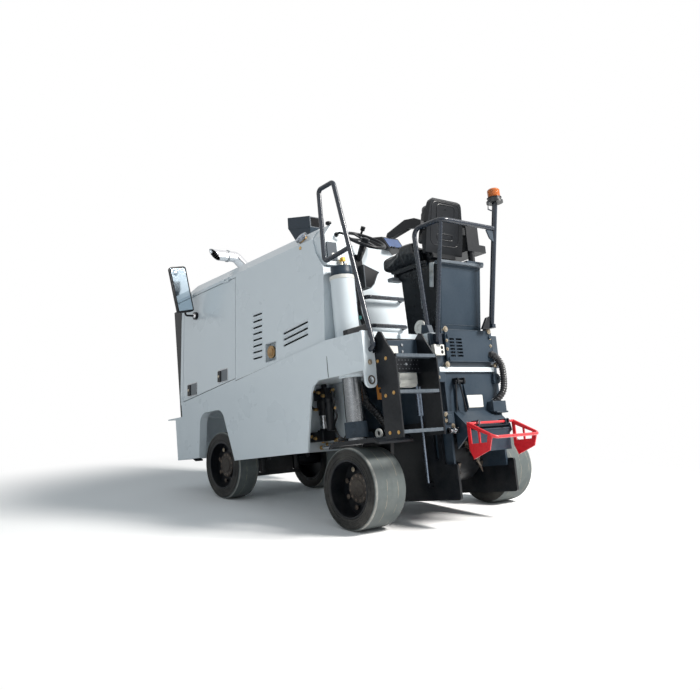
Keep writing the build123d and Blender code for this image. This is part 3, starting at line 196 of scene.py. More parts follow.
# ---- finishes ----------------------------------------------------------------------------------------
# name: darker colour, lighter colour, roughness, metallic, clear coat, grain per metre, bump depth, dust
FINISHES = {
    "white paint": ((0.565, 0.625, 0.664), (0.580, 0.640, 0.677), 0.30, 0.0, 0.3, 14, 0.00001, 0.0),
    "slate paint": ((0.0165, 0.0285, 0.043), (0.0225, 0.0365, 0.053), 0.42, 0.0, 0.0, 300, 0.00006, 0.08),
    "black paint": ((0.003, 0.004, 0.006), (0.008, 0.010, 0.013), 0.36, 0.0, 0.10, 240, 0.00006, 0.04),
    "gloss black": ((0.003, 0.004, 0.006), (0.007, 0.009, 0.012), 0.30, 0.0, 0.05, 90, 0.00004, 0.01),
    "rail paint": ((0.007, 0.012, 0.022), (0.012, 0.019, 0.031), 0.26, 0.0, 0.2, 220, 0.00002, 0.02),
    "rung paint": ((0.045, 0.060, 0.076), (0.080, 0.098, 0.118), 0.45, 0.0, 0.1, 380, 0.00040, 0.15),
    "red paint": ((0.50, 0.010, 0.018), (0.60, 0.020, 0.028), 0.32, 0.0, 0.4, 240, 0.00010, 0.02),
    "yellow paint": ((0.75, 0.42, 0.02), (0.85, 0.50, 0.04), 0.4, 0.0, 0.2, 240, 0.00010, 0.0),
    "orange paint": ((0.42, 0.15, 0.02), (0.52, 0.20, 0.03), 0.4, 0.0, 0.2, 240, 0.00010, 0.05),
    "teal plastic": ((0.10, 0.45, 0.42), (0.14, 0.52, 0.48), 0.4, 0.0, 0.1, 240, 0.00010, 0.0),
    "cast iron": ((0.016, 0.017, 0.018), (0.034, 0.035, 0.036), 0.55, 0.4, 0.0, 420, 0.00050, 0.15),
    "tube steel": ((0.17, 0.18, 0.19), (0.25, 0.26, 0.27), 0.25, 1.0, 0.0, 24, 0.00001, 0.0),
    "bare steel": ((0.34, 0.36, 0.38), (0.43, 0.45, 0.47), 0.26, 1.0, 0.0, 60, 0.00001, 0.02),
    "worn steel": ((0.060, 0.050, 0.045), (0.20, 0.165, 0.135), 0.5, 0.8, 0.0, 160, 0.00060, 0.3),
    "chrome": ((0.62, 0.63, 0.64), (0.70, 0.71, 0.72), 0.10, 1.0, 0.0, 90, 0.00003, 0.0),
    "brass": ((0.42, 0.27, 0.11), (0.55, 0.37, 0.16), 0.30, 1.0, 0.0, 400, 0.00002, 0.0),
    "zinc": ((0.36, 0.31, 0.24), (0.50, 0.45, 0.36), 0.36, 1.0, 0.0, 500, 0.00003, 0.05),
    "wall rubber": ((0.009, 0.0095, 0.0095), (0.019, 0.0195, 0.0190), 0.5, 0.0, 0.0, 200, 0.00030, 0.15),
    # the pale shoulder ring is a painted highlight on the tyre's rounded edge
    "shoulder rubber": ((0.15, 0.155, 0.15), (0.30, 0.30, 0.28), 0.7, 0.0, 0.0, 120, 0.00060, 0.1),
    "hose rubber": ((0.010, 0.011, 0.013), (0.021, 0.022, 0.025), 0.34, 0.0, 0.25, 400, 0.00020, 0.05),
    "black plastic": ((0.005, 0.006, 0.008), (0.010, 0.012, 0.015), 0.34, 0.0, 0.0, 900, 0.00008, 0.02),
    "grey plastic": ((0.13, 0.145, 0.16), (0.18, 0.195, 0.21), 0.45, 0.0, 0.0, 700, 0.00020, 0.05),
    "seat vinyl": ((0.004, 0.005, 0.007), (0.009, 0.011, 0.014), 0.27, 0.0, 0.0, 1100, 0.00012, 0.02),
    "pale plastic": ((0.56, 0.56, 0.53), (0.64, 0.64, 0.61), 0.4, 0.0, 0.1, 500, 0.00010, 0.05),
    # the screen glass's blue is painted reflection of sky, since the surroundings give reflections only plain
    # white
    "screen glass": ((0.018, 0.045, 0.130), (0.030, 0.070, 0.190), 0.10, 0.0, 0.6, 90, 0.00002, 0.0),
    "cap brass": ((0.20, 0.13, 0.065), (0.33, 0.22, 0.11), 0.36, 1.0, 0.0, 200, 0.00004, 0.0),
    "worn cover": ((0.020, 0.017, 0.015), (0.050, 0.042, 0.036), 0.5, 0.3, 0.0, 220, 0.00040, 0.2),
    # cap steel is a real steel whose blue tint is painted reflection of sky, on the water cap, the skirt
    # cylinders and the rods
    "cap steel": ((0.16, 0.20, 0.26), (0.24, 0.28, 0.34), 0.22, 1.0, 0.0, 300, 0.00010, 0.0),
    "clear pouch": ((0.16, 0.19, 0.21), (0.52, 0.56, 0.58), 0.14, 0.0, 0.6, 40, 0.00080, 0.0),
    "dark hollow": ((0.004, 0.004, 0.005), (0.007, 0.007, 0.008), 0.9, 0.0, 0.0, 50, 0.00010, 0.0),
    "tread rubber": ((0.076, 0.090, 0.091), (0.100, 0.116, 0.116), 0.62, 0.0, 0.0, 130, 0.00050, 0.10),
}
DUST = (0.30, 0.28, 0.25, 1.0)
# the paints whose colour a user can change: finish and the name of its setting
USER_PAINTS = {"white paint": "body", "slate paint": "trim", "red paint": "guard", "rail paint": "rails",
               "seat vinyl": "seat"}

# name: main finish, second finish, and the boxes (low, high) of the level frame where the second shows
BOX_FINISHES = {
    "frame paint": ("white paint", "slate paint", [((-0.60, -0.35, 0.9), (-0.3805, 0.52, 1.296)),
                                                   ((-0.40, -0.345, 0.9), (0.5, 0.38, 1.052))]),
    # the pedestal's left face is gloss black, darker than the slate round it: partly its own gloss black,
    # partly painted shade of the side away from the key lamp
    "pedestal paint": ("slate paint", "gloss black", [((-0.5, 0.2345, 1.2), (0.1, 0.30, 1.9))]),
    "ladder paint": ("black paint", "rung paint", [((-0.52, 0.478, 0.60), (-0.44, 0.842, 1.14))]),
    "rail and lamp foot": ("rail paint", "black plastic", [((-0.75, -0.30, 2.255), (-0.50, -0.10, 2.33))]),
    "rod and barrel": ("black paint", "cap steel", [((-0.24, 0.319, 0.262), (-0.15, 0.40, 1.2)),
                                                     ((-0.24, -0.40, 0.262), (-0.15, -0.319, 1.2))]),
}
# name: main and second finish, axis point, axes kept, reach, lowest height; the second shows within the reach
ROUND_FINISHES = {
    "leg and tube": ("black paint", "tube steel", (0.02, 0.787, 0.0), (1, 1, 0), 0.0690, 0.606),
    "drum steel": ("worn steel", "black paint", (0.03, 0.0, 0.47), (1, 0, 1), 0.262, 0.0),
}

# CAD node, or the first word of its name: finish of its own surface
NODE_FINISH = {
    "main_frame": "frame paint", "hood": "white paint", "hood_door_left": "white paint",
    "hood_door_right": "white paint", "tank_caps": "cap brass", "radiator_grille": "black paint",
    "engine_block": "cast iron", "front_axle": "black paint", "knuckle_left": "black paint",
    "knuckle_right": "black paint", "lift_column_left": "white paint", "lift_column_right": "white paint",
    "lift_leg_left": "leg and tube", "lift_leg_right": "black paint", "milling_chamber": "slate paint",
    "milling_drum": "drum steel", "skirt_left": "rod and barrel", "skirt_right": "rod and barrel",
    "skirt_cylinders": "cap steel", "discharge_hood": "slate paint", "scraper_door": "slate paint",
    "rear_cover": "slate paint", "guard_frame": "red paint", "seat_pedestal": "pedestal paint",
    "seat_cushion": "seat vinyl", "seat_back_pad": "seat vinyl", "seat_shell": "black plastic",
    "control_console": "black plastic", "steering_column": "black plastic", "steering_wheel": "black plastic",
    "knee_rails": "rail paint", "rear_rail": "rail and lamp foot", "left_handrail": "rail paint",
    "ladder": "ladder paint", "exhaust_pipe": "chrome", "air_intake": "slate paint",
    "mirror": "black plastic", "hydraulics": "hose rubber", "instrument_panel": "black plastic",
    "rim": "black paint", "tyre": "tread rubber", "beacon": "orange lens",
}


def wire(tree, kind, inputs=(), **settings):
    """One node, its settings, and its inputs as (socket, value or (node, output))."""
    made = tree.nodes.new(kind)
    for key, value in settings.items():
        setattr(made, key, value)
    for socket, value in inputs:
        if isinstance(value, tuple) and len(value) == 2 and hasattr(value[0], "outputs"):
            tree.links.new(made.inputs[socket], value[0].outputs[value[1]])
        else:
            made.inputs[socket].default_value = value
    return made


def blank(name):
    """Node tree of a new, empty finish."""
    made = bpy.data.materials.new(name)
    made.use_nodes = True
    made.node_tree.nodes.clear()
    return made.node_tree


def rgba(colour):
    """The colour, fully opaque."""
    return (*colour, 1.0)


def level_place(tree):
    """Object coordinates turned back into the machine's level frame."""
    place = wire(tree, "ShaderNodeTexCoord")
    home = TURN.T @ (-SHIFT - (0, 0, AXLE_Z)) + (0, 0, AXLE_Z)
    return wire(tree, "ShaderNodeMapping", [("Vector", (place, "Object")), ("Location", tuple(home)),
                                            ("Rotation", (0.0, -LEAN, 0.0))])


def box_mask(tree, place, boxes):
    """1 inside any of the boxes and 0 outside: the product of a step per side, then the largest of them."""
    split = wire(tree, "ShaderNodeSeparateXYZ", [("Vector", (place, 0))])
    best = None
    for low, high in boxes:
        inside = None
        for axis, (a, b) in enumerate(zip(low, high)):
            near = wire(tree, "ShaderNodeMath", [(0, (split, axis)), (1, (a + b) / 2)], operation="SUBTRACT")
            size = wire(tree, "ShaderNodeMath", [(0, (near, 0))], operation="ABSOLUTE")
            part = wire(tree, "ShaderNodeMath", [(0, (size, 0)), (1, (b - a) / 2)], operation="LESS_THAN")
            inside = part if inside is None else wire(
                tree, "ShaderNodeMath", [(0, (inside, 0)), (1, (part, 0))], operation="MULTIPLY")
        best = inside if best is None else wire(
            tree, "ShaderNodeMath", [(0, (best, 0)), (1, (inside, 0))], operation="MAXIMUM")
    return best, 0


def round_mask(tree, place, centre, keep, reach, lowest):
    """1 nearer than the reach to an axis, above the lowest height."""
    away = wire(tree, "ShaderNodeVectorMath", [(0, (place, 0)), (1, centre)], operation="SUBTRACT")
    flat = wire(tree, "ShaderNodeVectorMath", [(0, (away, 0)), (1, keep)], operation="MULTIPLY")
    size = wire(tree, "ShaderNodeVectorMath", [(0, (flat, 0))], operation="LENGTH")
    near = wire(tree, "ShaderNodeMath", [(0, (size, "Value")), (1, reach)], operation="LESS_THAN")
    split = wire(tree, "ShaderNodeSeparateXYZ", [("Vector", (place, 0))])
    high = wire(tree, "ShaderNodeMath", [(0, (split, "Z")), (1, lowest)], operation="GREATER_THAN")
    return wire(tree, "ShaderNodeMath", [(0, (near, 0)), (1, (high, 0))], operation="MULTIPLY"), 0


def vein_mask(tree, place):
    """Thin ragged lines round a tyre: where the wandering distance across it comes back to nothing."""
    wander = wire(tree, "ShaderNodeTexNoise", [("Vector", (place, 0)), ("Scale", 5.0), ("Detail", 6.0)])
    split = wire(tree, "ShaderNodeSeparateXYZ", [("Vector", (place, 0))])
    moved = wire(tree, "ShaderNodeMath", [(0, (wander, "Fac")), (1, 0.05), (2, (split, "Y"))],
                 operation="MULTIPLY_ADD")
    wave = wire(tree, "ShaderNodeMath", [(0, (moved, 0)), (1, 0.047)], operation="PINGPONG")
    line = wire(tree, "ShaderNodeMapRange", [("Value", (wave, 0)), ("From Min", 0.0018),
                                             ("From Max", 0.0006)])
    patch = wire(tree, "ShaderNodeTexNoise", [("Vector", (place, 0)), ("Scale", 14.0), ("Detail", 3.0)])
    broken = wire(tree, "ShaderNodeMapRange", [("Value", (patch, "Fac")), ("From Min", 0.42),
                                               ("From Max", 0.55)])
    return wire(tree, "ShaderNodeMath", [(0, (line, 0)), (1, (broken, 0))], operation="MULTIPLY"), 0


def mix(tree, share, first, second, kind="FLOAT"):
    """The first value where the share is 0 and the second where it is 1."""
    made = wire(tree, "ShaderNodeMix", [("Factor", share)], data_type=kind)
    pair = {"FLOAT": (2, 3), "RGBA": (6, 7)}[kind]
    for socket, value in zip(pair, (first, second)):
        if isinstance(value, tuple) and hasattr(value[0], "outputs"):
            tree.links.new(made.inputs[socket], value[0].outputs[value[1]])
        else:
            made.inputs[socket].default_value = value
    return made, {"FLOAT": 0, "RGBA": 2}[kind]


def tones(tree, place, mixed, values):
    """Blotchy colour with dust that thickens towards the ground and in patches, and uneven gloss."""
    dark, light, rough, metallic, _, _, _, dust = values
    share = wire(tree, "ShaderNodeMapRange", [("Value", mixed), ("From Min", 0.75), ("From Max", 1.25)])
    colour = mix(tree, (share, 0), rgba(dark), rgba(light), "RGBA")
    if dust:
        height = wire(tree, "ShaderNodeSeparateXYZ", [("Vector", (place, 0))])
        low = wire(tree, "ShaderNodeMapRange", [("Value", (height, "Z")), ("From Min", 1.25),
                                                ("From Max", 0.1), ("To Min", 0.06), ("To Max", 1.0)])
        patch = wire(tree, "ShaderNodeTexNoise", [("Vector", (place, 0)), ("Scale", 7.0), ("Detail", 9.0),
                                                  ("Roughness", 0.65)])
        patchy = wire(tree, "ShaderNodeMapRange", [("Value", (patch, "Fac")), ("From Min", 0.42),
                                                   ("From Max", 0.70), ("To Max", dust)])
        amount = wire(tree, "ShaderNodeMath", [(0, (low, 0)), (1, (patchy, 0))], operation="MULTIPLY")
        colour = mix(tree, (amount, 0), colour, DUST, "RGBA")
    gloss = wire(tree, "ShaderNodeMapRange", [("Value", mixed), ("From Min", 0.7), ("From Max", 1.3),
                                              ("To Min", rough * 0.85), ("To Max", min(1.0, rough * 1.2))])
    return colour, (gloss, 0), metallic


def chosen(name):
    """A finish's values; a paint the user can change has both tones scaled by new colour over first tone."""
    dark, light, *rest = FINISHES[name]
    if name in USER_PAINTS:
        paint = tuple(getattr(bpy.context.scene.planer_paints, USER_PAINTS[name]))
        light = tuple(high / low * new for high, low, new in zip(light, dark, paint))
        dark = paint
    return dark, light, *rest


def make_finish(name, first, second=None, mask=None):
    """One painted, rubber or metal surface with a fine grain, or two that meet at the edge of a mask."""
    tree = blank(name)
    place = level_place(tree)
    _, light, rough, _, coat, grain, depth, _ = chosen(first)
    pale_or_glossy = light[0] > 0.2 or rough < 0.3
    cloud = wire(tree, "ShaderNodeTexNoise", [("Vector", (place, 0)), ("Scale", 3.5), ("Detail", 6.0)])
    speck = wire(tree, "ShaderNodeTexNoise", [("Vector", (place, 0)), ("Scale", grain / 4), ("Detail", 3.0)])
    fine = wire(tree, "ShaderNodeTexNoise", [("Vector", (place, 0)), ("Scale", grain), ("Detail", 2.0)])
    both = wire(tree, "ShaderNodeMath", [(0, (cloud, "Fac")), (1, (speck, "Fac"))], operation="ADD")
    colour, gloss, shine = tones(tree, place, (both, 0), chosen(first))
    if second:
        share = mask(tree, place)
        other_colour, other_gloss, other_shine = tones(tree, place, (both, 0), chosen(second))
        colour = mix(tree, share, colour, other_colour, "RGBA")
        gloss = mix(tree, share, gloss, other_gloss)
        if shine != other_shine:
            shine = mix(tree, share, shine, other_shine)
    if first == "tread rubber":
        colour = mix(tree, vein_mask(tree, place), colour, (0.30, 0.26, 0.19, 1.0), "RGBA")
    bump = wire(tree, "ShaderNodeBump", [("Height", (fine, "Fac")), ("Strength", 0.6), ("Distance", depth)])
    shader = wire(tree, "ShaderNodeBsdfPrincipled", [("Base Color", colour), ("Roughness", gloss),
                                                     ("Metallic", shine), ("Coat Weight", coat),
                                                     ("Coat Roughness", 0.12),
                                                     ("Specular IOR Level", 0.4 if pale_or_glossy else 0.22),
                                                     ("Normal", (bump, 0))])
    wire(tree, "ShaderNodeOutputMaterial", [("Surface", (shader, 0))])


def make_lens():
    """Ribbed orange plastic: two oranges and a bump that follow the same bands, and a faint painted glow that
    brightens the lens.
    """
    tree = blank("orange lens")
    place = wire(tree, "ShaderNodeTexCoord")
    ribs = wire(tree, "ShaderNodeTexWave", [("Vector", (place, "Object")), ("Scale", 40.0)],
                bands_direction="Z")
    tone = wire(tree, "ShaderNodeMix", [("Factor", (ribs, "Fac")), ("A", (0.34, 0.070, 0.004, 1)),
                                        ("B", (0.50, 0.125, 0.008, 1))], data_type="RGBA")
    bump = wire(tree, "ShaderNodeBump", [("Height", (ribs, "Fac")), ("Strength", 0.5), ("Distance", 0.001)])
    shader = wire(tree, "ShaderNodeBsdfPrincipled", [("Base Color", (tone, "Result")), ("Roughness", 0.18),
                                                     # faint painted glow, which brightens the lens though it
                                                     # is not lit
                                                     ("Emission Color", (1.0, 0.30, 0.02, 1)),
                                                     ("Emission Strength", 0.03), ("Coat Weight", 0.25),
                                                     ("Normal", (bump, 0))])
    wire(tree, "ShaderNodeOutputMaterial", [("Surface", (shader, 0))])


def make_mirror_glass():
    """Mirror tinted blue as painted reflection of sky, whose gloss wanders a little, as dusty glass does."""
    tree = blank("mirror glass")
    place = wire(tree, "ShaderNodeTexCoord")
    haze = wire(tree, "ShaderNodeTexNoise", [("Vector", (place, "Object")), ("Scale", 8.0), ("Detail", 4.0)])
    gloss = wire(tree, "ShaderNodeMapRange", [("Value", (haze, "Fac")), ("To Min", 0.02), ("To Max", 0.09)])
    # the blue base colour is painted reflection of sky
    shader = wire(tree, "ShaderNodeBsdfPrincipled", [("Base Color", (0.56, 0.68, 0.77, 1)), ("Metallic", 1.0),
                                                     ("Roughness", (gloss, 0))])
    wire(tree, "ShaderNodeOutputMaterial", [("Surface", (shader, 0))])


def finish(name):
    """A finish that has been made already."""
    return bpy.data.materials[name]


def dress(node, look):
    """Gives a CAD node one finish."""
    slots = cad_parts[node].data.materials
    slots.clear()
    slots.append(finish(look))


class PLANER_OT_finishes(bpy.types.Operator):
    """Makes the finishes and puts them on the machine's own parts"""
    bl_idname = "planer.finishes"
    bl_label = "Finishes"

    def execute(self, context):
        for name in FINISHES:
            make_finish(name, name)
        for name, (first, second, boxes) in BOX_FINISHES.items():
            make_finish(name, first, second, lambda tree, place, boxes=boxes: box_mask(tree, place, boxes))
        for name, (first, second, *where) in ROUND_FINISHES.items():
            make_finish(name, first, second, lambda tree, place, where=where: round_mask(tree, place, *where))
        make_lens()
        make_mirror_glass()
        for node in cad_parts:
            dress(node, NODE_FINISH.get(node) or NODE_FINISH[node.split("_")[0]])
        return {"FINISHED"}


# ---- helpers that several groups share ---------------------------------------------------------------
AHEAD, BACK, LEFT, UP = (1, 0, 0), (-1, 0, 0), (0, 1, 0), (0, 0, 1)


def blocks(table):
    """One piece from each row: its blocks, given by their ranges in X, Y and Z."""
    for name, (look, edge, *boxes) in table.items():
        piece(name, [brick(*box) for box in boxes], look, bevel=edge)


def plates(table):
    """One piece from each row: an outline in two axes, carried from low to high along the third."""
    for name, (look, edge, across, low, high, outline) in table.items():
        piece(name, [prism(outline, across, low, high)], look, bevel=edge)


def turned(table):
    """One piece from each row: a profile of (radius, height) turned about an axis through a centre."""
    for name, (look, sides, centre, axis, profile) in table.items():
        piece(name, [lathe(profile, centre, axis, sides)], look)


def rounded_rectangle(a0, a1, b0, b1, r, steps=4):
    """Outline of a rectangle whose corners are quarter circles of radius r."""
    turn = np.linspace(0, math.pi / 2, steps + 1)
    corners = ((a1 - r, b1 - r, 0), (a0 + r, b1 - r, 1), (a0 + r, b0 + r, 2), (a1 - r, b0 + r, 3))
    return [(a + r * math.cos(t + k * math.pi / 2), b + r * math.sin(t + k * math.pi / 2))
            for a, b, k in corners for t in turn]


def band(outline, across, place, radius, sides=8):
    """A round bead along a closed outline: each circle stands square to the line between its neighbours."""
    flat = np.asarray(outline, float)
    path = np.insert(flat, across, place, axis=1)
    ahead = np.roll(path, -1, 0) - np.roll(path, 1, 0)
    ahead /= np.linalg.norm(ahead, axis=1, keepdims=True)
    out = np.zeros(3)
    out[across] = 1.0
    side = np.cross(ahead, out)
    turn = np.linspace(0, 2 * math.pi, sides, endpoint=False)
    rings = path[:, None] + radius * (np.cos(turn)[None, :, None] * side[:, None]
                                      + np.sin(turn)[None, :, None] * out)
    return solid(rings, loop=True)


def ring_shape(inner, outer, low, high, centre, axis, sides=48):
    """A flat ring between two radii and two heights on an axis."""
    return lathe([(inner, low), (outer, low), (outer, high), (inner, high)], centre, axis, sides, loop=True)


def round_places(count, radius, centre, axis, start=0.0):
    """Places evenly spaced on a circle about the axis."""
    u, v, _ = basis(axis)
    turn = start + np.arange(count) * 2 * math.pi / count
    return np.asarray(centre, float) + radius * (np.cos(turn)[:, None] * u + np.sin(turn)[:, None] * v)


def bolts(places, axis, radius, head):
    """The same bolt at each place."""
    return [shape for place in places for shape in bolt(place, axis, radius, head)]


def lean(shape, axis, offset):
    """Adds to one axis of a shape an offset worked out from each point's height."""
    points, faces = shape
    points = points.copy()
    points[:, axis] += offset(points[:, 2])
    return points, faces


# the hood's walls mirror each other about this y
HOOD_MIDDLE = 0.3


def wall_y(z):
    """Outer face of the hood's leaning left wall, or of the frame's skin below it."""
    return 0.930 - 0.080 * np.maximum(0.0, (np.asarray(z) - 1.18) / 0.93)


def on_wall(shape, right=False):
    """Moves a shape, drawn with y as its height above the left wall, onto that wall or the right one."""
    points, faces = lean(shape, 1, wall_y)
    if right:
        points[:, 1] = 2 * HOOD_MIDDLE - points[:, 1]
    return points, faces


def choose_slots(item, looks, choose):
    """Gives each face the finish that `choose` picks from its centre in the level frame."""
    for look in looks:
        item.data.materials.append(finish(look))
    count = len(item.data.polygons)
    centres = np.empty(count * 3)
    item.data.polygons.foreach_get("center", centres)
    item.data.polygons.foreach_set("material_index", choose(lie(centres.reshape(-1, 3))).astype(np.int32))


# ---- wheels ------------------------------------------------------------------------------------------
# wheel: body, axle x, axle z, y of the outer face, width, side, depth of the disc
WHEELS = {
    "rear_left": ("rear_wheel_left", 0.0, 0.2795, 0.931, 0.287, 1, 0.125),
    "rear_right": ("rear_wheel_right", 0.14345, 0.30063, -0.931, 0.287, -1, 0.125),
    "front_left": ("front_wheel_left", 1.68779, 0.52813, 0.900, 0.200, 1, 0.080),
    "front_right": ("front_wheel_right", 1.68779, 0.52813, -0.220, 0.200, -1, 0.080),
}
TYRE_R = 0.2795
# radius and depth of the outer wall, from the rim seat to the shoulder: two raised rings and a lip
WALL_PROFILE = [(0.1985, 0.007), (0.2020, 0.002), (0.2100, 0.001), (0.2120, 0.0040), (0.2210, 0.0045),
                (0.2225, 0.0015), (0.2275, 0.0015), (0.2290, 0.0045), (0.2500, 0.0050), (0.2515, 0.0020),
                (0.2565, 0.0020), (0.2580, 0.0055), (0.2680, 0.0060), (0.2740, 0.0090), (0.2780, 0.0150)]
HUB_COVER = [(0.101, 0), (0.101, 0.005), (0.097, 0.009), (0.060, 0.010), (0.056, 0.014), (0.030, 0.0145)]
RIM_BEAD = [(0.1985, -0.0045), (0.1985, -0.001), (0.1950, 0.0), (0.1885, -0.001), (0.1870, -0.0045)]
HUB_BOLTS, HUB_BOLT_CIRCLE = 12, 0.086
WHEEL_NUTS, WHEEL_NUT_CIRCLE, NUT_R = 8, 0.140, 0.0115
# the wall's own rubber ends at the first radius, and the pale shoulder, a painted highlight on the tyre's
# rounded edge, at the second radius and this depth
WALL_R, SHOULDER_R, SHOULDER_DEPTH = 0.2700, 0.2735, 0.0235


class PLANER_OT_wheels(bpy.types.Operator):
    """Adds the four solid tyres, the hub covers and their bolts"""
    bl_idname = "planer.wheels"
    bl_label = "Wheels"

    def execute(self, context):
        for name, (body, x, z, outer, width, side, depth) in WHEELS.items():
            axis = (0, side, 0)
            crown = [(TYRE_R - 0.0006 * abs(s - 0.45), width * s) for s in np.linspace(0.085, 0.84, 12)]
            inner = [(0.2735, width * 0.955), (0.2690, width - 0.003), (0.2620, width), (0.2060, width),
                     (0.1985, width - 0.006)]
            profile = [(r, -d) for r, d in WALL_PROFILE + crown + inner]
            tyre = piece(f"tyre_{name}_rubber", [lathe(profile, (x, outer, z), axis, 96, loop=True)],
                         "tread rubber", body)

            def zone(centres, x=x, z=z, outer=outer, side=side):
                """Slot by distance from the axle and depth from the outer face: tread, wall or the shoulder's
                painted highlight.
                """
                reach = np.hypot(centres[:, 0] - x, centres[:, 2] - z)
                deep = side * (outer - centres[:, 1])
                shoulder = (deep < SHOULDER_DEPTH) & (reach > SHOULDER_R)
                return np.where(reach < WALL_R, 1, np.where(shoulder, 2, 0))
            choose_slots(tyre, ("wall rubber", "shoulder rubber"), zone)
            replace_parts(tyre, f"tyre_{name}")
            face = outer - side * (depth - 0.022)
            piece(f"hub_cover_{name}", [lathe(HUB_COVER, (x, face, z), axis, 48)], "worn cover", body)
            places = round_places(HUB_BOLTS, HUB_BOLT_CIRCLE, (x, face + side * 0.0085, z), axis, 0.13)
            piece(f"hub_bolts_{name}", bolts(places, axis, 0.0065, 0.006), "worn steel", body)
            bead = lathe(RIM_BEAD, (x, outer - side * 0.001, z), axis, 96, loop=True)
            piece(f"rim_bead_{name}", [bead], "black paint", body)
            nut_face = outer - side * (depth - 0.0165)
            spots = round_places(WHEEL_NUTS, WHEEL_NUT_CIRCLE, (x, nut_face, z), axis, math.radians(22.5))
            piece(f"bright_nut_{name}", bolt(spots[2], axis, NUT_R, 0.006), "zinc", body)
            piece(f"nut_faces_{name}", bolts(spots[3:], axis, NUT_R, 0.004), "worn steel", body)
        return {"FINISHED"}


# ---- hood --------------------------------------------------------------------------------------------
# door latch: lowest and highest x, then lowest and highest z, on the side wall
LATCHES = {"rear": (1.440, 1.605, 1.215, 1.329), "front": (1.967, 2.140, 1.162, 1.281)}
# line where the hood meets the frame, from the front to the rear, and how far back it runs on each side
SEAM = [(1.318, 1.2002), (0.583, 1.2726), (0.107, 1.3195)]
SEAM_REAR = {"left": 0.107, "right": 0.52}
EXHAUST = (1.700, 0.425, 2.195)
INTAKE_Y = (0.461, 0.599)
# louvres: x and z of the first slot's top, number, length, step down, fall per metre
LOUVRES = {"tall": (0.921, 1.694, 8, 0.130, 0.050, 0.0), "low": (0.314, 1.504, 3, 0.310, 0.046, 0.11)}
# the round cap on top: its place and the way it faces, square to the sloping corner of the hood
CAP_PLACE, CAP_AXIS = np.array([0.400, 0.8125, 2.1525]), np.array([0.0, 0.7498, 0.6617])
CAP_R, CAP_RIBS = 0.0475, 24
CAP = [(CAP_R, 0.012), (0.0480, 0.026), (0.0440, 0.032), (0.030, 0.0335), (0.028, 0.037), (0.012, 0.038)]
# piece: finish, sides, centre, axis, profile
HOOD_TURNED = {
    "filler_top": ("cap brass", 32, (0.800, 0.914, 1.354), LEFT,
                   [(0.030, 0.0), (0.030, 0.004), (0.024, 0.007), (0.010, 0.008)]),
    "header_hole": ("pale plastic", 24, (0.0921, 0.785, 1.955), BACK, [(0.016, 0), (0.016, 0.0012)]),
    "header_knob": ("black plastic", 24, (0.150, 0.758, 2.189), UP,
                    [(0.010, 0), (0.010, 0.012), (0.021, 0.016), (0.023, 0.024), (0.021, 0.034),
                     (0.012, 0.038)]),
}
# piece: finish, edge, axis it is carried along, from, to, outline in the other two axes
HOOD_PLATES = {
    "header_plate": ("slate paint", 0.0015, 0, 0.092, 0.1005,
                     rounded_rectangle(0.748, 0.840, 1.915, 2.050, 0.006)),
    "intake_screen": ("dark hollow", 0, 1, 0.470, 0.590,
                      [(0.5655, 2.412), (0.5655, 2.338), (0.5672, 2.338), (0.5672, 2.412)]),
}


def louvre_lip(x0, z, long, fall, deep=0.010, high=0.016):
    """A wedge over a slot: its upper edge lies on the wall and its lower edge stands out from it."""
    stations = ((x0 - 0.006, 0.0, 0.0), (x0, 0.9, 0.0), (x0 + 0.004, 1.0, fall * 0.004),
                (x0 + long - 0.004, 1.0, fall * long), (x0 + long, 0.9, fall * long),
                (x0 + long + 0.006, 0.0, fall * long))
    rings = [[(x, 0.0, z + high - drop), (x, deep * out, z + 0.001 - drop), (x, deep * out, z - 0.002 - drop),
              (x, 0.0, z - drop)] for x, out, drop in stations]
    return solid(np.array(rings))


def latch(name, side, x0, x1, z0, z1):
    """A recessed latch: plate, bowl and paddle are rounded rectangles, and the lock a small turned cap."""
    wide, door = x1 - x0, f"hood_door_{side}"
    bowl = rounded_rectangle(x0 + 0.008, x1 - wide * 0.36, z0 + 0.008, z1 - 0.008, 0.006)
    paddle = rounded_rectangle(x1 - wide * 0.34, x1 - 0.008, z0 + 0.010, z1 - 0.010, 0.006)
    middle = (x1 - wide * 0.18, 0.011, (z0 + z1) / 2)
    lock = lathe([(0.011, 0), (0.011, 0.004), (0.008, 0.006)], middle, LEFT, 20)
    plate = rounded_rectangle(x0, x1, z0, z1, 0.010)
    for kind, shape, look, edge in (
            ("plate", prism(plate, 1, -0.001, 0.003), "bare steel", 0.0012),
            ("bowl", prism(bowl, 1, 0.0028, 0.0042), "grey plastic", 0),
            ("paddle", prism(paddle, 1, 0.0028, 0.012), "black plastic", 0.003),
            ("lock", lock, "zinc", 0)):
        piece(f"latch_{kind}_{name}_{side}", [on_wall(shape, side == "right")], look, door, edge)


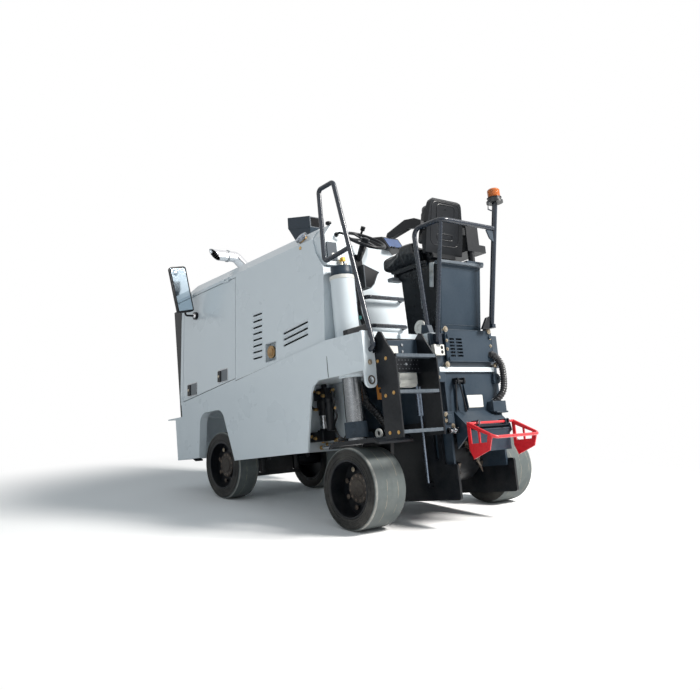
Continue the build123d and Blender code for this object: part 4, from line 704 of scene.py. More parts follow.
class PLANER_OT_hood_trim(bpy.types.Operator):
    """Adds the latches, seams, caps, header fittings, exhaust clamp and intake lip"""
    bl_idname = "planer.hood_trim"
    bl_label = "Hood trim"

    def execute(self, context):
        seam_r = context.scene.planer_sizes.seam
        for side, rear in SEAM_REAR.items():
            for name, ranges in LATCHES.items():
                latch(name, side, *ranges)
            strip = resample([(x, 0.0, z) for x, z in SEAM if x > rear - 0.001], 0.05)
            piece(f"hood_seam_{side}", [on_wall(tube(strip, seam_r, 6), side == "right")], "dark hollow")
        for name, (x0, z0, count, long, step, fall) in LOUVRES.items():
            lips = [on_wall(louvre_lip(x0, z0 - k * step, long, fall)) for k in range(count)]
            piece(f"louvre_lips_{name}", lips, "white paint")
        post = resample([(0.098, 0.0, 1.318), (0.098, 0.0, 1.056)], 0.04)
        piece("fender_seam", [on_wall(tube(post, 0.0028, 6))], "dark hollow")
        piece("water_cap", [lathe(CAP, CAP_PLACE, CAP_AXIS, 40)], "cap steel")
        u, v, _ = basis(CAP_AXIS)
        turns = np.linspace(0, 2 * math.pi, CAP_RIBS, endpoint=False)
        ribs = [lathe([(0.0035, 0.013), (0.0035, 0.029)], CAP_PLACE + CAP_R * (np.cos(a) * u + np.sin(a) * v),
                      CAP_AXIS, 6) for a in turns]
        piece("water_cap_grip", ribs, "bare steel")
        edge = rounded_rectangle(0.726, 0.874, 1.280, 1.428, 0.012)
        piece("filler_frame", [on_wall(band(edge, 1, 0.0005, 0.0032))], "white paint")
        stud = bolt((0.392, float(wall_y(2.079)), 2.079), (0, 1, 0.086), 0.014, 0.005, False)
        piece("brass_stud", stud, "brass")
        turned(HOOD_TURNED)
        plates(HOOD_PLATES)
        handle = [(0.098, 0.735, 2.115), (0.066, 0.735, 2.118), (0.048, 0.725, 2.112), (0.045, 0.690, 2.104)]
        boss = lathe([(0.018, 0), (0.018, 0.008), (0.013, 0.012)], (0.101, 0.735, 2.115), BACK, 24)
        piece("header_handle", [tube(curve(handle), 0.009, 12), boss], "black plastic")
        x, y, z = EXHAUST
        foot = [lathe([(0.070, 0.010), (0.070, 0.018), (0.056, 0.021)], EXHAUST, UP, 40)]
        foot += bolts(round_places(4, 0.058, (x, y, z + 0.017), UP, 0.6), UP, 0.007, 0.006)
        piece("exhaust_flange", foot, "bare steel")
        clamp = [(0.0500, 0.028), (0.0545, 0.030), (0.0545, 0.044), (0.0500, 0.046)]
        piece("exhaust_clamp", [lathe(clamp, (x, y + 0.225, z + 0.190), LEFT, 40, loop=True)], "bare steel")
        lip = [(0.567, 2.420), (0.857, 2.490), (0.861, 2.400), (0.567, 2.330)]
        piece("intake_band", [band(lip, 1, y, 0.0035) for y in INTAKE_Y], "slate paint")
        hooks = [prism([(2.105, 0.598), (2.278, 0.680), (2.278, 0.668), (2.105, 0.586)], 1, 0.840, 0.915)]
        hooks += bolt((2.20, 0.880, 0.632), (0.43, 0, -0.9), 0.013, 0.012)
        piece("arch_bracket", hooks, "black paint", bevel=0.001)
        return {"FINISHED"}


# ---- left rear corner --------------------------------------------------------------------------------
COLUMN = (0.020, 0.787)
# profiles turned about the column: collar on its top, and the bowls, can and heads of the filters
COLLAR = [(0.0775, 1.7725), (0.0790, 1.775), (0.0790, 1.806), (0.0772, 1.810), (0.0772, 1.8415),
          (0.060, 1.8445)]
THIN_BOWL = [(0.028, 0.700), (0.033, 0.712), (0.033, 0.905), (0.038, 0.912), (0.038, 0.935)]
FILTER_CAN = [(0.030, 0.722), (0.0305, 0.726), (0.0305, 0.800), (0.028, 0.806), (0.030, 0.812),
              (0.030, 0.820)]
# fittings on the collar: turn about the column and length
COLLAR_FITTINGS = ((2.6, 0.030), (3.6, 0.022), (4.4, 0.030))
SADDLE_EYE = (-0.120, 0.706)
# piece: finish, edge, then the ranges of each block in X, Y and Z
LEFT_BLOCKS = {
    "column_plug": ("yellow paint", 0.003, (0.056, 0.088, 0.705, 0.733, 1.905, 1.936)),
    "valve_base": ("black paint", 0.004, (0.435, 0.605, 0.640, 0.760, 0.628, 0.702),
                   (0.455, 0.525, 0.660, 0.740, 0.700, 0.714)),
    "relay_box": ("orange paint", 0.004, (-0.027, 0.038, 0.502, 0.547, 0.882, 0.993)),
    "relay_face": ("black plastic", 0.001, (-0.031, -0.026, 0.511, 0.538, 0.900, 0.975),
                   (-0.020, 0.008, 0.546, 0.549, 0.928, 0.956)),
    "relay_hanger": ("black paint", 0.001, (-0.012, 0.022, 0.520, 0.528, 0.990, 1.053)),
}
# piece: finish, edge, axis it is carried along, from, to, outline in the other two axes
LEFT_PLATES = {
    "deck_box": ("black paint", 0.004, 0, -0.128, -0.084,
                 [(0.915, 1.3125), (0.915, 1.354), (0.700, 1.412), (0.700, 1.3125)]),
    "splash_panel": ("white paint", 0, 1, 0.590, 0.596,
                     [(0.232, 1.050), (0.598, 1.050), (0.598, 0.640), (0.345, 0.640)]),
}
# ring on an axis: finish, edge, body, inner and outer radius, low and high end, centre, axis, sides
LEFT_RINGS = {
    "column_cap_ring": ("pale plastic", 0.002, "machine", 0.060, 0.0905, 1.745, 1.7725, (*COLUMN, 0), UP, 48),
    "column_foot_ring": ("white paint", 0.002, "machine", 0.0860, 0.100, 1.3125, 1.325, (*COLUMN, 0), UP, 48),
    "saddle_eye": ("pale plastic", 0.002, "lift_leg_left", 0.0178, 0.0335, -0.0075, 0.0075,
                   (*SADDLE_EYE, 0.636), LEFT, 32),
    "end_plate_bush": ("worn steel", 0.001, "machine", 0.0205, 0.031, -0.002, 0.003,
                       (-0.320, 0.905, 0.982), BACK, 32),
}
# hose nuts: place and axis
HOSE_NUTS = (((0.505, 0.770, 1.008), (0, 1, 0.3)), ((0.489, 0.765, 0.868), LEFT),
             ((0.452, 0.752, 0.990), LEFT), ((0.350, 0.705, 0.992), (-1, 0, 0.4)),
             ((0.345, 0.706, 0.862), (-1, 0.3, 0)), ((0.400, 0.752, 0.960), LEFT),
             ((0.520, 0.762, 0.655), LEFT), ((0.570, 0.762, 0.672), LEFT))
HOSE_NUT = [(0.0135, -0.014), (0.0135, 0.006), (0.0105, 0.009), (0.0105, 0.020)]
# steel pipes: y, z and where they start
STEEL_PIPES = ((0.640, 0.632, 0.400), (0.600, 0.607, 0.370), (0.660, 0.585, 0.420))
# big hoses: depth and pitch of their ribs, and the points of their route
BIG_HOSES = {
    "chamber_hose": (0.0030, 0.020, [(0.265, 0.500, 1.050), (0.245, 0.500, 0.960), (0.205, 0.495, 0.870),
                                     (0.150, 0.480, 0.808), (0.112, 0.462, 0.746), (0.082, 0.447, 0.684),
                                     (0.080, 0.437, 0.625), (0.150, 0.430, 0.588), (0.350, 0.440, 0.605),
                                     (0.598, 0.440, 0.610)]),
    "rear_hose": (0.0026, 0.018, [(-0.398, -0.205, 1.150), (-0.448, -0.215, 1.140), (-0.462, -0.270, 1.070),
                                  (-0.462, -0.282, 0.980), (-0.462, -0.262, 0.880), (-0.440, -0.222, 0.820),
                                  (-0.402, -0.205, 0.792)]),
}
# thin hoses: radius and the points of their route
THIN_HOSES = [
    (0.0085, [(0.505, 0.775, 1.010), (0.530, 0.790, 0.965), (0.520, 0.790, 0.905), (0.489, 0.775, 0.868)]),
    (0.0085, [(0.350, 0.710, 0.990), (0.315, 0.730, 0.955), (0.310, 0.730, 0.900), (0.345, 0.710, 0.865)]),
    (0.0075, [(0.345, 0.705, 0.860), (0.330, 0.700, 0.800), (0.365, 0.700, 0.735), (0.330, 0.700, 0.660),
              (0.300, 0.660, 0.615), (0.350, 0.600, 0.590)]),
    (0.0075, [(0.250, 0.640, 1.052), (0.235, 0.640, 0.940), (0.270, 0.650, 0.830), (0.250, 0.655, 0.720),
              (0.330, 0.640, 0.640), (0.430, 0.620, 0.610)]),
    (0.0090, [(0.290, 0.560, 1.052), (0.285, 0.560, 0.900), (0.315, 0.560, 0.760), (0.430, 0.565, 0.660),
              (0.598, 0.570, 0.640)]),
]
COLUMN_LEAD = [(0.064, 0.722, 1.900), (0.050, 0.720, 1.852), (0.055, 0.690, 1.800), (0.100, 0.655, 1.70),
               (0.110, 0.640, 1.50)]


def saddle_dots(radius):
    """Raised dots in staggered rows on the left saddle, kept clear of the leg and of the eye."""
    (x, y), (eye_x, eye_y) = COLUMN, SADDLE_EYE
    dots = []
    for row, side in enumerate(np.linspace(0.610, 0.850, 7)):
        for ahead in np.arange(-0.235 + 0.012 * (row % 2), 0.165, 0.032):
            if math.hypot(ahead - x, side - y) > 0.095 and math.hypot(ahead - eye_x, side - eye_y) > 0.045:
                dots.append(lathe([(radius, 0), (radius - 0.0025, 0.0030)], (ahead, side, 0.6045), UP, 8))
    return dots


class PLANER_OT_left_corner(bpy.types.Operator):
    """Adds the lifting column's rings and clamp, the filters, pipes and hoses under the fender"""
    bl_idname = "planer.left_corner"
    bl_label = "Column and hydraulics"

    def execute(self, context):
        sizes = context.scene.planer_sizes
        x, y = COLUMN
        for name, (look, edge, body, *ring) in LEFT_RINGS.items():
            piece(name, [ring_shape(*ring)], look, body, edge)
        piece("column_collar", [lathe(COLLAR, (x, y, 0), UP, 48)], "slate paint")
        fittings = []
        for a, long in COLLAR_FITTINGS:
            place = (x + 0.045 * math.cos(a), y + 0.045 * math.sin(a), 1.840)
            fitting = [(0.011, 0), (0.011, 0.014), (0.0075, 0.016), (0.0075, long)]
            fittings.append(lathe(fitting, place, UP, 6))
        piece("column_fittings", fittings, "zinc")
        piece("column_lead", [tube(curve(COLUMN_LEAD), 0.006, 10)], "hose rubber")
        blocks(LEFT_BLOCKS)
        plates(LEFT_PLATES)
        clamp = [ring_shape(0.0672, 0.0800, 0.622, 0.732, (x, y, 0), UP)]
        clamp += bolts([(x - 0.050, y + 0.064, z) for z in (0.650, 0.705)], (-0.6, 0.8, 0), 0.009, 0.010)
        piece("leg_clamp", clamp, "slate paint", "lift_leg_left", 0.003)
        piece("saddle_treads", saddle_dots(sizes.tread_stud), "rung paint", "lift_leg_left")
        piece("end_plate_bolt", bolt((-0.320, 0.905, 1.10), BACK, 0.012, 0.012), "zinc")
        head = [brick(0.378, 0.528, 0.655, 0.745, 0.935, 1.020),
                lathe([(0.046, 0.860), (0.052, 0.880), (0.052, 0.936)], (0.470, 0.700, 0), UP, 32),
                lathe([(0.020, 1.018), (0.020, 1.052)], (0.450, 0.700, 0), UP, 20)]
        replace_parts(piece("filter_head", head, "black plastic", bevel=0.004), "hydraulics")
        bowls = [lathe([(0.036, 0.820), (0.040, 0.826), (0.040, 0.862)], (0.480, 0.700, 0), UP, 32),
                 lathe([(0.034, 0.712), (0.034, 0.722)], (0.490, 0.700, 0), UP, 32),
                 lathe(THIN_BOWL, (0.365, 0.735, 0), UP, 32)]
        piece("filter_bowls", bowls, "black plastic")
        piece("filter_can", [lathe(FILTER_CAN, (0.490, 0.700, 0), UP, 32)], "bare steel")
        piece("hose_fittings", [lathe(HOSE_NUT, place, axis, 6) for place, axis in HOSE_NUTS], "brass")
        pipes, ends = [], []
        for side, z, start in STEEL_PIPES:
            route = [(start, side, z), (0.55, side, z), (0.70, side, z + 0.004), (0.825, side, z + 0.002)]
            pipes.append(tube(curve(route), 0.011, 12))
            ends += [lathe([(0.017, -0.018), (0.017, 0.018)], (ahead, side, z), AHEAD, 6)
                     for ahead in (start + 0.03, 0.600, 0.800)]
        piece("steel_pipes", pipes, "chrome")
        piece("steel_pipe_nuts", ends, "brass")
        for name, (ripple, pitch, route) in BIG_HOSES.items():
            radius = getattr(sizes, name)
            path = resample(curve(route, 12), 0.0045)
            piece(name, [tube(path, radius, 20, ripple, pitch)], "hose rubber")
            clip = [(radius + 0.004, -0.007), (radius + 0.004, 0.007)]
            clips = [lathe(clip, path[end], path[end + 1] - path[end - 1], 28) for end in (2, -3)]
            piece(f"{name}_clips", clips, "bare steel")
        hoses = [tube(curve(route), radius, 10) for radius, route in THIN_HOSES]
        piece("pressure_hoses", hoses, "hose rubber")
        return {"FINISHED"}


# ---- ladder and rear ---------------------------------------------------------------------------------
# bolts of the ladder's side plates (x, z) and of the rear cover (y, z, radius)
LADDER_BOLTS = [(-0.388, 0.867), (-0.467, 0.878), (-0.394, 0.624), (-0.475, 0.621), (-0.423, 1.109),
                (-0.343, 1.102)]
COVER_BOLTS = [(0.256, 1.325, 0.014), (-0.214, 1.324, 0.014), (0.274, 1.071, 0.014), (-0.246, 1.068, 0.014),
               (0.254, 1.242, 0.008), (0.256, 1.181, 0.008), (-0.222, 1.272, 0.008), (-0.220, 1.213, 0.008)]
RUNG_HEIGHTS = (1.129, 0.891, 0.633)
BRACKET_BOLTS = ((-0.4255, 0.345, 0.720), (-0.4255, 0.345, 0.680), (-0.4255, 0.285, 0.640))
# piece: finish, edge, then the ranges of each block in X, Y and Z
REAR_BLOCKS = {
    "step_plates": ("pale plastic", 0.001, (-0.347, -0.3440, 0.662, 0.738, 1.152, 1.208),
                    (-0.347, -0.3440, 0.385, 0.466, 1.162, 1.208)),
    "switch_box": ("pale plastic", 0.004, (-0.432, -0.398, 0.292, 0.392, 1.136, 1.212)),
    "cross_bar": ("white paint", 0.003, (-0.418, -0.399, -0.240, 0.350, 1.020, 1.054)),
    "hose_bracket": ("slate paint", 0.003, (-0.455, -0.399, -0.282, -0.134, 0.722, 0.800),
                     (-0.462, -0.399, -0.290, -0.160, 0.712, 0.724)),
    "rear_brackets": ("slate paint", 0.003, (-0.425, -0.399, 0.262, 0.366, 0.612, 0.742),
                      (-0.420, -0.399, 0.300, 0.390, 0.948, 1.018),
                      (-0.410, -0.399, 0.292, 0.306, 0.588, 1.020),
                      (-0.440, -0.420, 0.300, 0.345, 0.660, 0.720)),
    "shackle_block": ("black paint", 0.002, (-0.450, -0.399, 0.252, 0.272, 0.588, 0.628),
                      (-0.450, -0.420, 0.335, 0.352, 0.588, 0.628)),
    "chamber_lug": ("slate paint", 0.002, (-0.300, -0.255, 0.2905, 0.312, 0.95, 1.0)),
}
# piece: finish, edge, axis it is carried along, from, to, outline in the other two axes
REAR_PLATES = {
    "step_panel": ("slate paint", 0.003, 0, -0.3445, -0.321,
                   [(0.755, 1.245), (0.360, 1.262), (0.360, 1.134), (0.712, 1.132)]),
    "step_apron": ("black paint", 0.0008, 0, -0.3475, -0.3444,
                   [(0.740, 1.131), (0.390, 1.131), (0.390, 1.028), (0.740, 1.028)]),
    "rear_blank_plate": ("pale plastic", 0.0008, 0, -0.4025, -0.3995,
                         rounded_rectangle(-0.088, 0.084, 0.763, 0.853, 0.006)),
}
LIFT_LINKS = ([(-0.438, 0.222, 0.945), (-0.440, 0.232, 0.860), (-0.440, 0.243, 0.745)],
              [(-0.438, 0.183, 0.940), (-0.440, 0.165, 0.840), (-0.442, 0.148, 0.735)])
DUCT = [(-0.340, 1.026), (-0.340, 0.952), (-0.325, 0.930), (-0.262, 0.930), (-0.262, 1.026)]
DUCT_SEAM = [(-0.344, 0.980), (-0.344, 0.974), (-0.336, 0.974), (-0.336, 0.980)]
CHAMBER_RIB = [(-0.4005, 0.990), (-0.4005, 0.745), (-0.425, 0.745), (-0.430, 0.760)]


class PLANER_OT_rear(bpy.types.Operator):
    """Adds the ladder's bolts and panel, and the brackets, bolts, links and plates on the rear"""
    bl_idname = "planer.rear"
    bl_label = "Ladder and rear"

    def execute(self, context):
        heads = bolts([(x, 0.8558, z) for x, z in LADDER_BOLTS], LEFT, 0.0080, 0.007)
        heads += bolts([(x, 0.4642, z) for x, z in LADDER_BOLTS[:4]], (0, -1, 0), 0.0115, 0.008)
        piece("ladder_bolts", heads, "brass")
        grips = [lathe([(0.0060, 0), (0.0042, 0.0022)], (-0.482 + 0.012 * (-1) ** k, y, z), UP, 8)
                 for z in RUNG_HEIGHTS for k, y in enumerate(np.arange(0.490, 0.840, 0.026))]
        piece("rung_grips", grips, "rung paint")
        blocks(REAR_BLOCKS)
        plates(REAR_PLATES)
        dots = [lathe([(0.0035, 0), (0.0020, 0.0012)], (-0.3474, y, z), BACK, 8)
                for k, z in enumerate((1.052, 1.082, 1.112))
                for y in np.arange(0.425 + 0.014 * (k % 2), 0.72, 0.030)]
        dots.append(lathe([(0.009, 0), (0.009, 0.0015)], (-0.3474, 0.600, 1.084), BACK, 20))
        piece("step_apron_dots", dots, "grey plastic")
        piece("deck_duct", [prism(DUCT, 1, 0.500, 0.665), prism(DUCT_SEAM, 1, 0.502, 0.663)],
              "pale plastic", bevel=0.006)
        button = [(0.010, 0), (0.010, 0.004), (0.007, 0.006)]
        piece("step_buttons", [lathe(button, (-0.3445, 0.620, z), BACK, 20) for z in (1.170, 1.215)],
              "bare steel")
        piece("switch_holes", [lathe([(0.013, 0), (0.013, 0.0015)], (-0.4315, 0.318, z), BACK, 20)
                               for z in (1.190, 1.158)], "dark hollow")
        heads = []
        for y, z, radius in COVER_BOLTS:
            spaced = radius > 0.01
            heads += bolt((-0.428 if spaced else -0.4255, y, z), BACK, radius, 0.010)
            if spaced:
                heads.append(lathe([(0.009, 0), (0.009, 0.030)], (-0.399, y, z), BACK, 12))
        piece("cover_bolts", heads, "zinc")
        edge = rounded_rectangle(-0.238, 0.264, 1.094, 1.324, 0.010)
        piece("cover_edge", [band(edge, 0, -0.4255, 0.0025)], "slate paint")
        clevis = [brick(-0.452, -0.399, y, y + 0.014, 0.930, 0.975) for y in (0.134, 0.200)]
        clevis.append(lathe([(0.010, -0.052), (0.010, 0.052)], (-0.436, 0.174, 0.950), LEFT, 20))
        piece("clevis", clevis, "black paint", bevel=0.002)
        piece("lift_links", [tube(route, 0.006, 10) for route in LIFT_LINKS], "black paint")
        lug = [ring_shape(0.016, 0.040, -0.010, 0.010, (-0.412, -0.256, 0.968), AHEAD, 32),
               brick(-0.421, -0.399, -0.262, -0.222, 0.930, 1.006)]
        piece("towing_lug", lug, "slate paint", bevel=0.002)
        heads = bolts(BRACKET_BOLTS, BACK, 0.012, 0.010) + bolt((-0.420, 0.372, 0.982), BACK, 0.010, 0.008)
        piece("rear_bracket_bolts", heads, "zinc")
        foot = (-0.438, 0.262, 0.606)
        pin = [lathe([(0.012, 0.0), (0.012, 0.090)], foot, LEFT, 16),
               ring_shape(0.012, 0.022, 0.030, 0.046, foot, LEFT, 24)]
        piece("shackle_pin", pin, "bare steel")
        ribs = [prism(CHAMBER_RIB, 1, y - 0.005, y + 0.005) for y in (0.205, 0.105)]
        piece("chamber_ribs", ribs, "slate paint", bevel=0.0015)
        heads = [shape for side in (-1, 1)
                 for shape in bolt((-0.546, side * 0.150 + 0.009 * side, 0.648), (0, side, 0), 0.012, 0.008)]
        piece("guard_pin_bolts", heads, "bare steel")
        route = curve([(-0.225, 0.352, 1.052), (-0.252, 0.352, 1.020), (-0.226, 0.352, 0.985)])
        feed = [tube(route, 0.007, 10),
                lathe([(0.015, -0.012), (0.015, 0.012)], (-0.236, 0.352, 0.995), LEFT, 6)]
        piece("cylinder_feed", feed, "brass")
        return {"FINISHED"}


# ---- operator's station ------------------------------------------------------------------------------
SEAT_Y = 0.095
TILT = math.radians(36)
HUB = np.array([0.380, 0.200, 2.210])
COLUMN_AXIS = np.array([-math.sin(TILT), 0, math.cos(TILT)])
# pad: CAD node, how much smaller it starts, how far its cloth may move, sewn lines as (axis, level)
PADS = {
    "seat_cushion_cover": ("seat_cushion", 0.006, 0.014,
                           [(1, SEAT_Y - 0.138), (1, SEAT_Y + 0.138), (0, -0.105)]),
    "seat_back_cover": ("seat_back_pad", 0.005, 0.011,
                        [(1, SEAT_Y - 0.115), (1, SEAT_Y + 0.115), (2, 2.150)]),
}
SEAM_HALF_WIDTH, SEAM_DEPTH = 0.0045, 0.0042
CLOTH_FRAMES = 20
# beads pressed into the shell's back: half width, lowest and highest z, corner radius, bead radius
SHELL_BEADS = ((0.095, 2.145, 2.262, 0.030, 0.0050), (0.085, 2.008, 2.052, 0.020, 0.0045),
               (0.150, 1.965, 2.278, 0.050, 0.0040))
# plate on the shell's back: finish, edge, half width, lowest and highest z, corner radius, depth
SHELL_PLATES = {
    "shell_lozenge": ("black plastic", 0.0012, 0.072, 2.016, 2.044, 0.013, -0.003),
    "shell_button": ("gloss black", 0.001, 0.010, 2.226, 2.240, 0.006, -0.004),
}
# piece: finish, edge, then the ranges of each block in X, Y and Z
SEAT_BLOCKS = {
    "seat_lever_box": ("grey plastic", 0.005, (0.004, 0.062, 0.188, 0.302, 1.776, 1.806)),
    "seat_lever_arm": ("gloss black", 0.003, (0.005, 0.030, 0.170, 0.262, 1.802, 1.834),
                       (-0.250, 0.030, 0.2440, 0.2560, 1.828, 1.862)),
    "seat_slide": ("gloss black", 0.002, *[(-0.300, 0.060, middle - 0.012, middle + 0.012, 1.8405, 1.8640)
                                           for middle in (SEAT_Y - 0.150, SEAT_Y + 0.150)]),
    "pedestal_lid": ("rung paint", 0.004, (-0.458, -0.398, -0.212, 0.264, 1.808, 1.8305)),
    "rail_disc_foot": ("slate paint", 0.002, (-0.270, -0.220, 0.300, 0.318, 1.299, 1.370)),
}
# piece: finish, edge, axis it is carried along, from, to, outline in the other two axes
SEAT_PLATES = {
    "pedestal_tag": ("bare steel", 0.0005, 1, 0.2345, 0.2365,
                     rounded_rectangle(-0.247, -0.203, 1.518, 1.602, 0.004)),
    "paper_pouch": ("clear pouch", 0.003, 1, 0.236, 0.247,
                    [(-0.377, 1.828), (-0.335, 1.836), (-0.312, 1.660), (-0.346, 1.650)]),
    "post_foot": ("slate paint", 0.004, 1, 0.330, 0.382,
                  [(-0.400, 1.255), (-0.305, 1.308), (-0.318, 1.372), (-0.372, 1.362)]),
    "pole_gusset": ("black paint", 0.002, 0, -0.474, -0.452,
                    [(-0.195, 1.430), (-0.160, 1.418), (-0.096, 1.330), (-0.175, 1.330)]),
    "pole_plate": ("slate paint", 0.002, 0, -0.590, -0.580,
                   [(-0.205, 2.070), (-0.130, 2.056), (-0.160, 1.995), (-0.205, 1.968)]),
}
LAMP_LOOP = [(-0.622, -0.200, 2.262), (-0.622, -0.150, 2.262), (-0.618, -0.148, 2.205),
             (-0.616, -0.205, 2.200)]


def about_seat(half, low, high, corner):
    """Rounded rectangle about the seat's middle: half its width, its lowest and highest z, its corners."""
    return rounded_rectangle(SEAT_Y - half, SEAT_Y + half, low, high, corner)


def shell_back(z):
    """Rear face of the seat's shell, which leans back with height."""
    return -0.355 - 0.076 * (z - 1.905) / 0.385


def pedestal_back(z):
    """Rear face of the seat's pedestal, which leans back with height."""
    return -0.362 - 0.068 * (z - 1.336) / 0.489


def edges_of(mesh):
    """Both ends of every edge."""
    ends = np.empty(len(mesh.edges) * 2, np.int64)
    mesh.edges.foreach_get("vertices", ends)
    return ends.reshape(-1, 2)


def vectors_of(mesh, kind):
    """The place ("co") or the normal ("normal") of every point."""
    values = np.empty(len(mesh.vertices) * 3)
    mesh.vertices.foreach_get(kind, values)
    return values.reshape(-1, 3)


def put(mesh, points):
    """Moves the mesh's points to these places."""
    mesh.vertices.foreach_set("co", points.ravel())
    mesh.update()


def relax(points, ends, rounds, share=0.5):
    """Moves each point part of the way to the middle of its neighbours."""
    count = np.bincount(ends.ravel(), minlength=len(points))[:, None]
    for _ in range(rounds):
        total = np.zeros_like(points)
        np.add.at(total, ends[:, 0], points[ends[:, 1]])
        np.add.at(total, ends[:, 1], points[ends[:, 0]])
        points = points + share * (total / np.maximum(count, 1) - points)
    return points


def apply_modifiers(item):
    """Keeps the shape that the modifiers give and takes them off."""
    bpy.context.view_layer.update()
    done = bpy.data.meshes.new_from_object(item.evaluated_get(bpy.context.evaluated_depsgraph_get()))
    item.modifiers.clear()
    item.data = done
    return done


def blow_up(item, points, cap):
    """Cloth under pressure and without weight; each point moves with it, but no further than the cap."""
    cloth = item.modifiers.new("cloth", "CLOTH")
    cloth.settings.quality = 5
    cloth.settings.mass = 0.3
    cloth.settings.tension_stiffness = cloth.settings.compression_stiffness = 18
    cloth.settings.bending_stiffness = 1.0
    cloth.settings.use_pressure = True
    cloth.settings.uniform_pressure_force = 4.0
    cloth.settings.effector_weights.gravity = 0.0
    cloth.collision_settings.use_collision = False
    cloth.point_cache.frame_start, cloth.point_cache.frame_end = 1, CLOTH_FRAMES
    for number in range(1, CLOTH_FRAMES + 1):
        bpy.context.scene.frame_set(number)
    mesh = apply_modifiers(item)
    bpy.context.scene.frame_set(1)
    moved = vectors_of(mesh, "co") - points
    far = np.linalg.norm(moved, axis=1, keepdims=True)
    points = points + moved * np.minimum(1.0, cap / np.maximum(far, 1e-9))
    put(mesh, relax(points, edges_of(mesh), 2))


def make_pad(name, node, smaller, cap, seams):
    """Cover of a pad: a slightly smaller remeshed copy, blown up as cloth, capped, divided once and sewn."""
    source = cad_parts[node].data.copy()
    shape = bmesh.new()
    shape.from_mesh(source)
    bmesh.ops.remove_doubles(shape, verts=shape.verts, dist=1e-5)
    bmesh.ops.recalc_face_normals(shape, faces=shape.faces)
    shape.to_mesh(source)
    shape.free()
    source.materials.clear()
    item = bpy.data.objects.new(name, source)
    bpy.context.scene.collection.objects.link(item)
    grid = item.modifiers.new("grid", "REMESH")
    grid.mode, grid.voxel_size, grid.use_smooth_shade = "VOXEL", 0.0065, True
    mesh = apply_modifiers(item)
    points = relax(vectors_of(mesh, "co"), edges_of(mesh), 3)
    put(mesh, points)
    points = points - smaller * vectors_of(mesh, "normal")
    put(mesh, points)
    blow_up(item, points, cap)
    finer = item.modifiers.new("finer", "SUBSURF")
    finer.levels = finer.render_levels = 1
    mesh = apply_modifiers(item)
    points = vectors_of(mesh, "co")
    level = lie(points)
    dip = np.zeros(len(points))
    for axis, where in seams:
        dip = np.maximum(dip, np.exp(-((level[:, axis] - where) / SEAM_HALF_WIDTH) ** 2))
    points = points - SEAM_DEPTH * dip[:, None] * vectors_of(mesh, "normal")
    mesh.shade_smooth()
    put(mesh, points)
    mesh.materials.clear()
    mesh.materials.append(finish("seat vinyl"))
    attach(item, "machine")
    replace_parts(item, node)


class PLANER_OT_seat(bpy.types.Operator):
    """Adds the seat's padded covers, the pressed panel of its shell, and the parts round its pedestal"""
    bl_idname = "planer.seat"
    bl_label = "Seat"

    def execute(self, context):
        for name, pad in PADS.items():
            make_pad(name, *pad)
        beads = [lean(band(about_seat(*outline), 0, 0.001, radius), 0, shell_back)
                 for *outline, radius in SHELL_BEADS]
        piece("shell_panel", beads, "black plastic")
        for name, (look, edge, *outline, deep) in SHELL_PLATES.items():
            piece(name, [lean(prism(about_seat(*outline), 0, deep, 0.001), 0, shell_back)], look, bevel=edge)
        cap = [(0.030, 0), (0.030, 0.006), (0.024, 0.010)]
        hinge = [lathe(cap, (-0.330, SEAT_Y + 0.121, 1.900), LEFT, 28),
                 lathe([(0.012, 0), (0.012, 0.010)], (-0.330, SEAT_Y + 0.130, 1.900), LEFT, 6)]
        piece("seat_hinge", hinge, "black plastic")
        blocks(SEAT_BLOCKS)
        plates(SEAT_PLATES)
        seam = band(rounded_rectangle(-0.192, 0.222, 1.372, 1.782, 0.012), 0, 0.0, 0.0022)
        piece("pedestal_rear_seam", [lean(seam, 0, pedestal_back)], "slate paint")
        disc = [(0.052, 0), (0.052, 0.010), (0.044, 0.014), (0.022, 0.014), (0.018, 0.008)]
        piece("rail_disc", [lathe(disc, (-0.245, 0.316, 1.369), (0, 1, 0.1), 40)], "pale plastic")
        piece("lamp_loop", [tube(LAMP_LOOP, 0.0055, 10)], "rail paint")
        return {"FINISHED"}


# piece: finish, edge, then the ranges of each block in X, Y and Z
CONTROL_BLOCKS = {
    "console_keys": ("grey plastic", 0.002, *[(-0.330 + 0.036 * i, -0.306 + 0.036 * i, -0.272 + 0.045 * j,
                                               -0.244 + 0.045 * j, 2.160, 2.172)
                                              for i in range(3) for j in range(2)]),
    "cable_plug": ("pale plastic", 0.003, (0.425, 0.446, 0.305, 0.330, 1.570, 1.596)),
    "cable_tag": ("teal plastic", 0.003, (0.425, 0.446, 0.275, 0.305, 1.568, 1.594)),
}
DASH_SCREEN = [(0.252, 2.0005), (0.106, 1.9557), (0.106, 1.9537), (0.252, 1.9960)]
DASH_EDGE = [(0.259, 1.998), (0.098, 1.949), (0.123, 1.924), (0.165, 1.847), (0.205, 1.812), (0.259, 1.815)]
# instrument panel: foot of its sloping face in X and Z, and the way the face rises
PANEL_FOOT = np.array([0.430, 2.195])
PANEL_RISE = np.array([0.075, 0.120]) / math.hypot(0.075, 0.120)
CABLES = 4
CABLE_ROUTE = np.array([(0.465, 0.305, 2.130), (0.460, 0.285, 1.960), (0.458, 0.255, 1.800),
                        (0.460, 0.262, 1.650), (0.455, 0.232, 1.520), (0.462, 0.218, 1.400),
                        (0.470, 0.225, 1.305)])
CABLE_TIES = ((0.459, 0.271, 1.88), (0.459, 0.258, 1.71), (0.458, 0.226, 1.46))


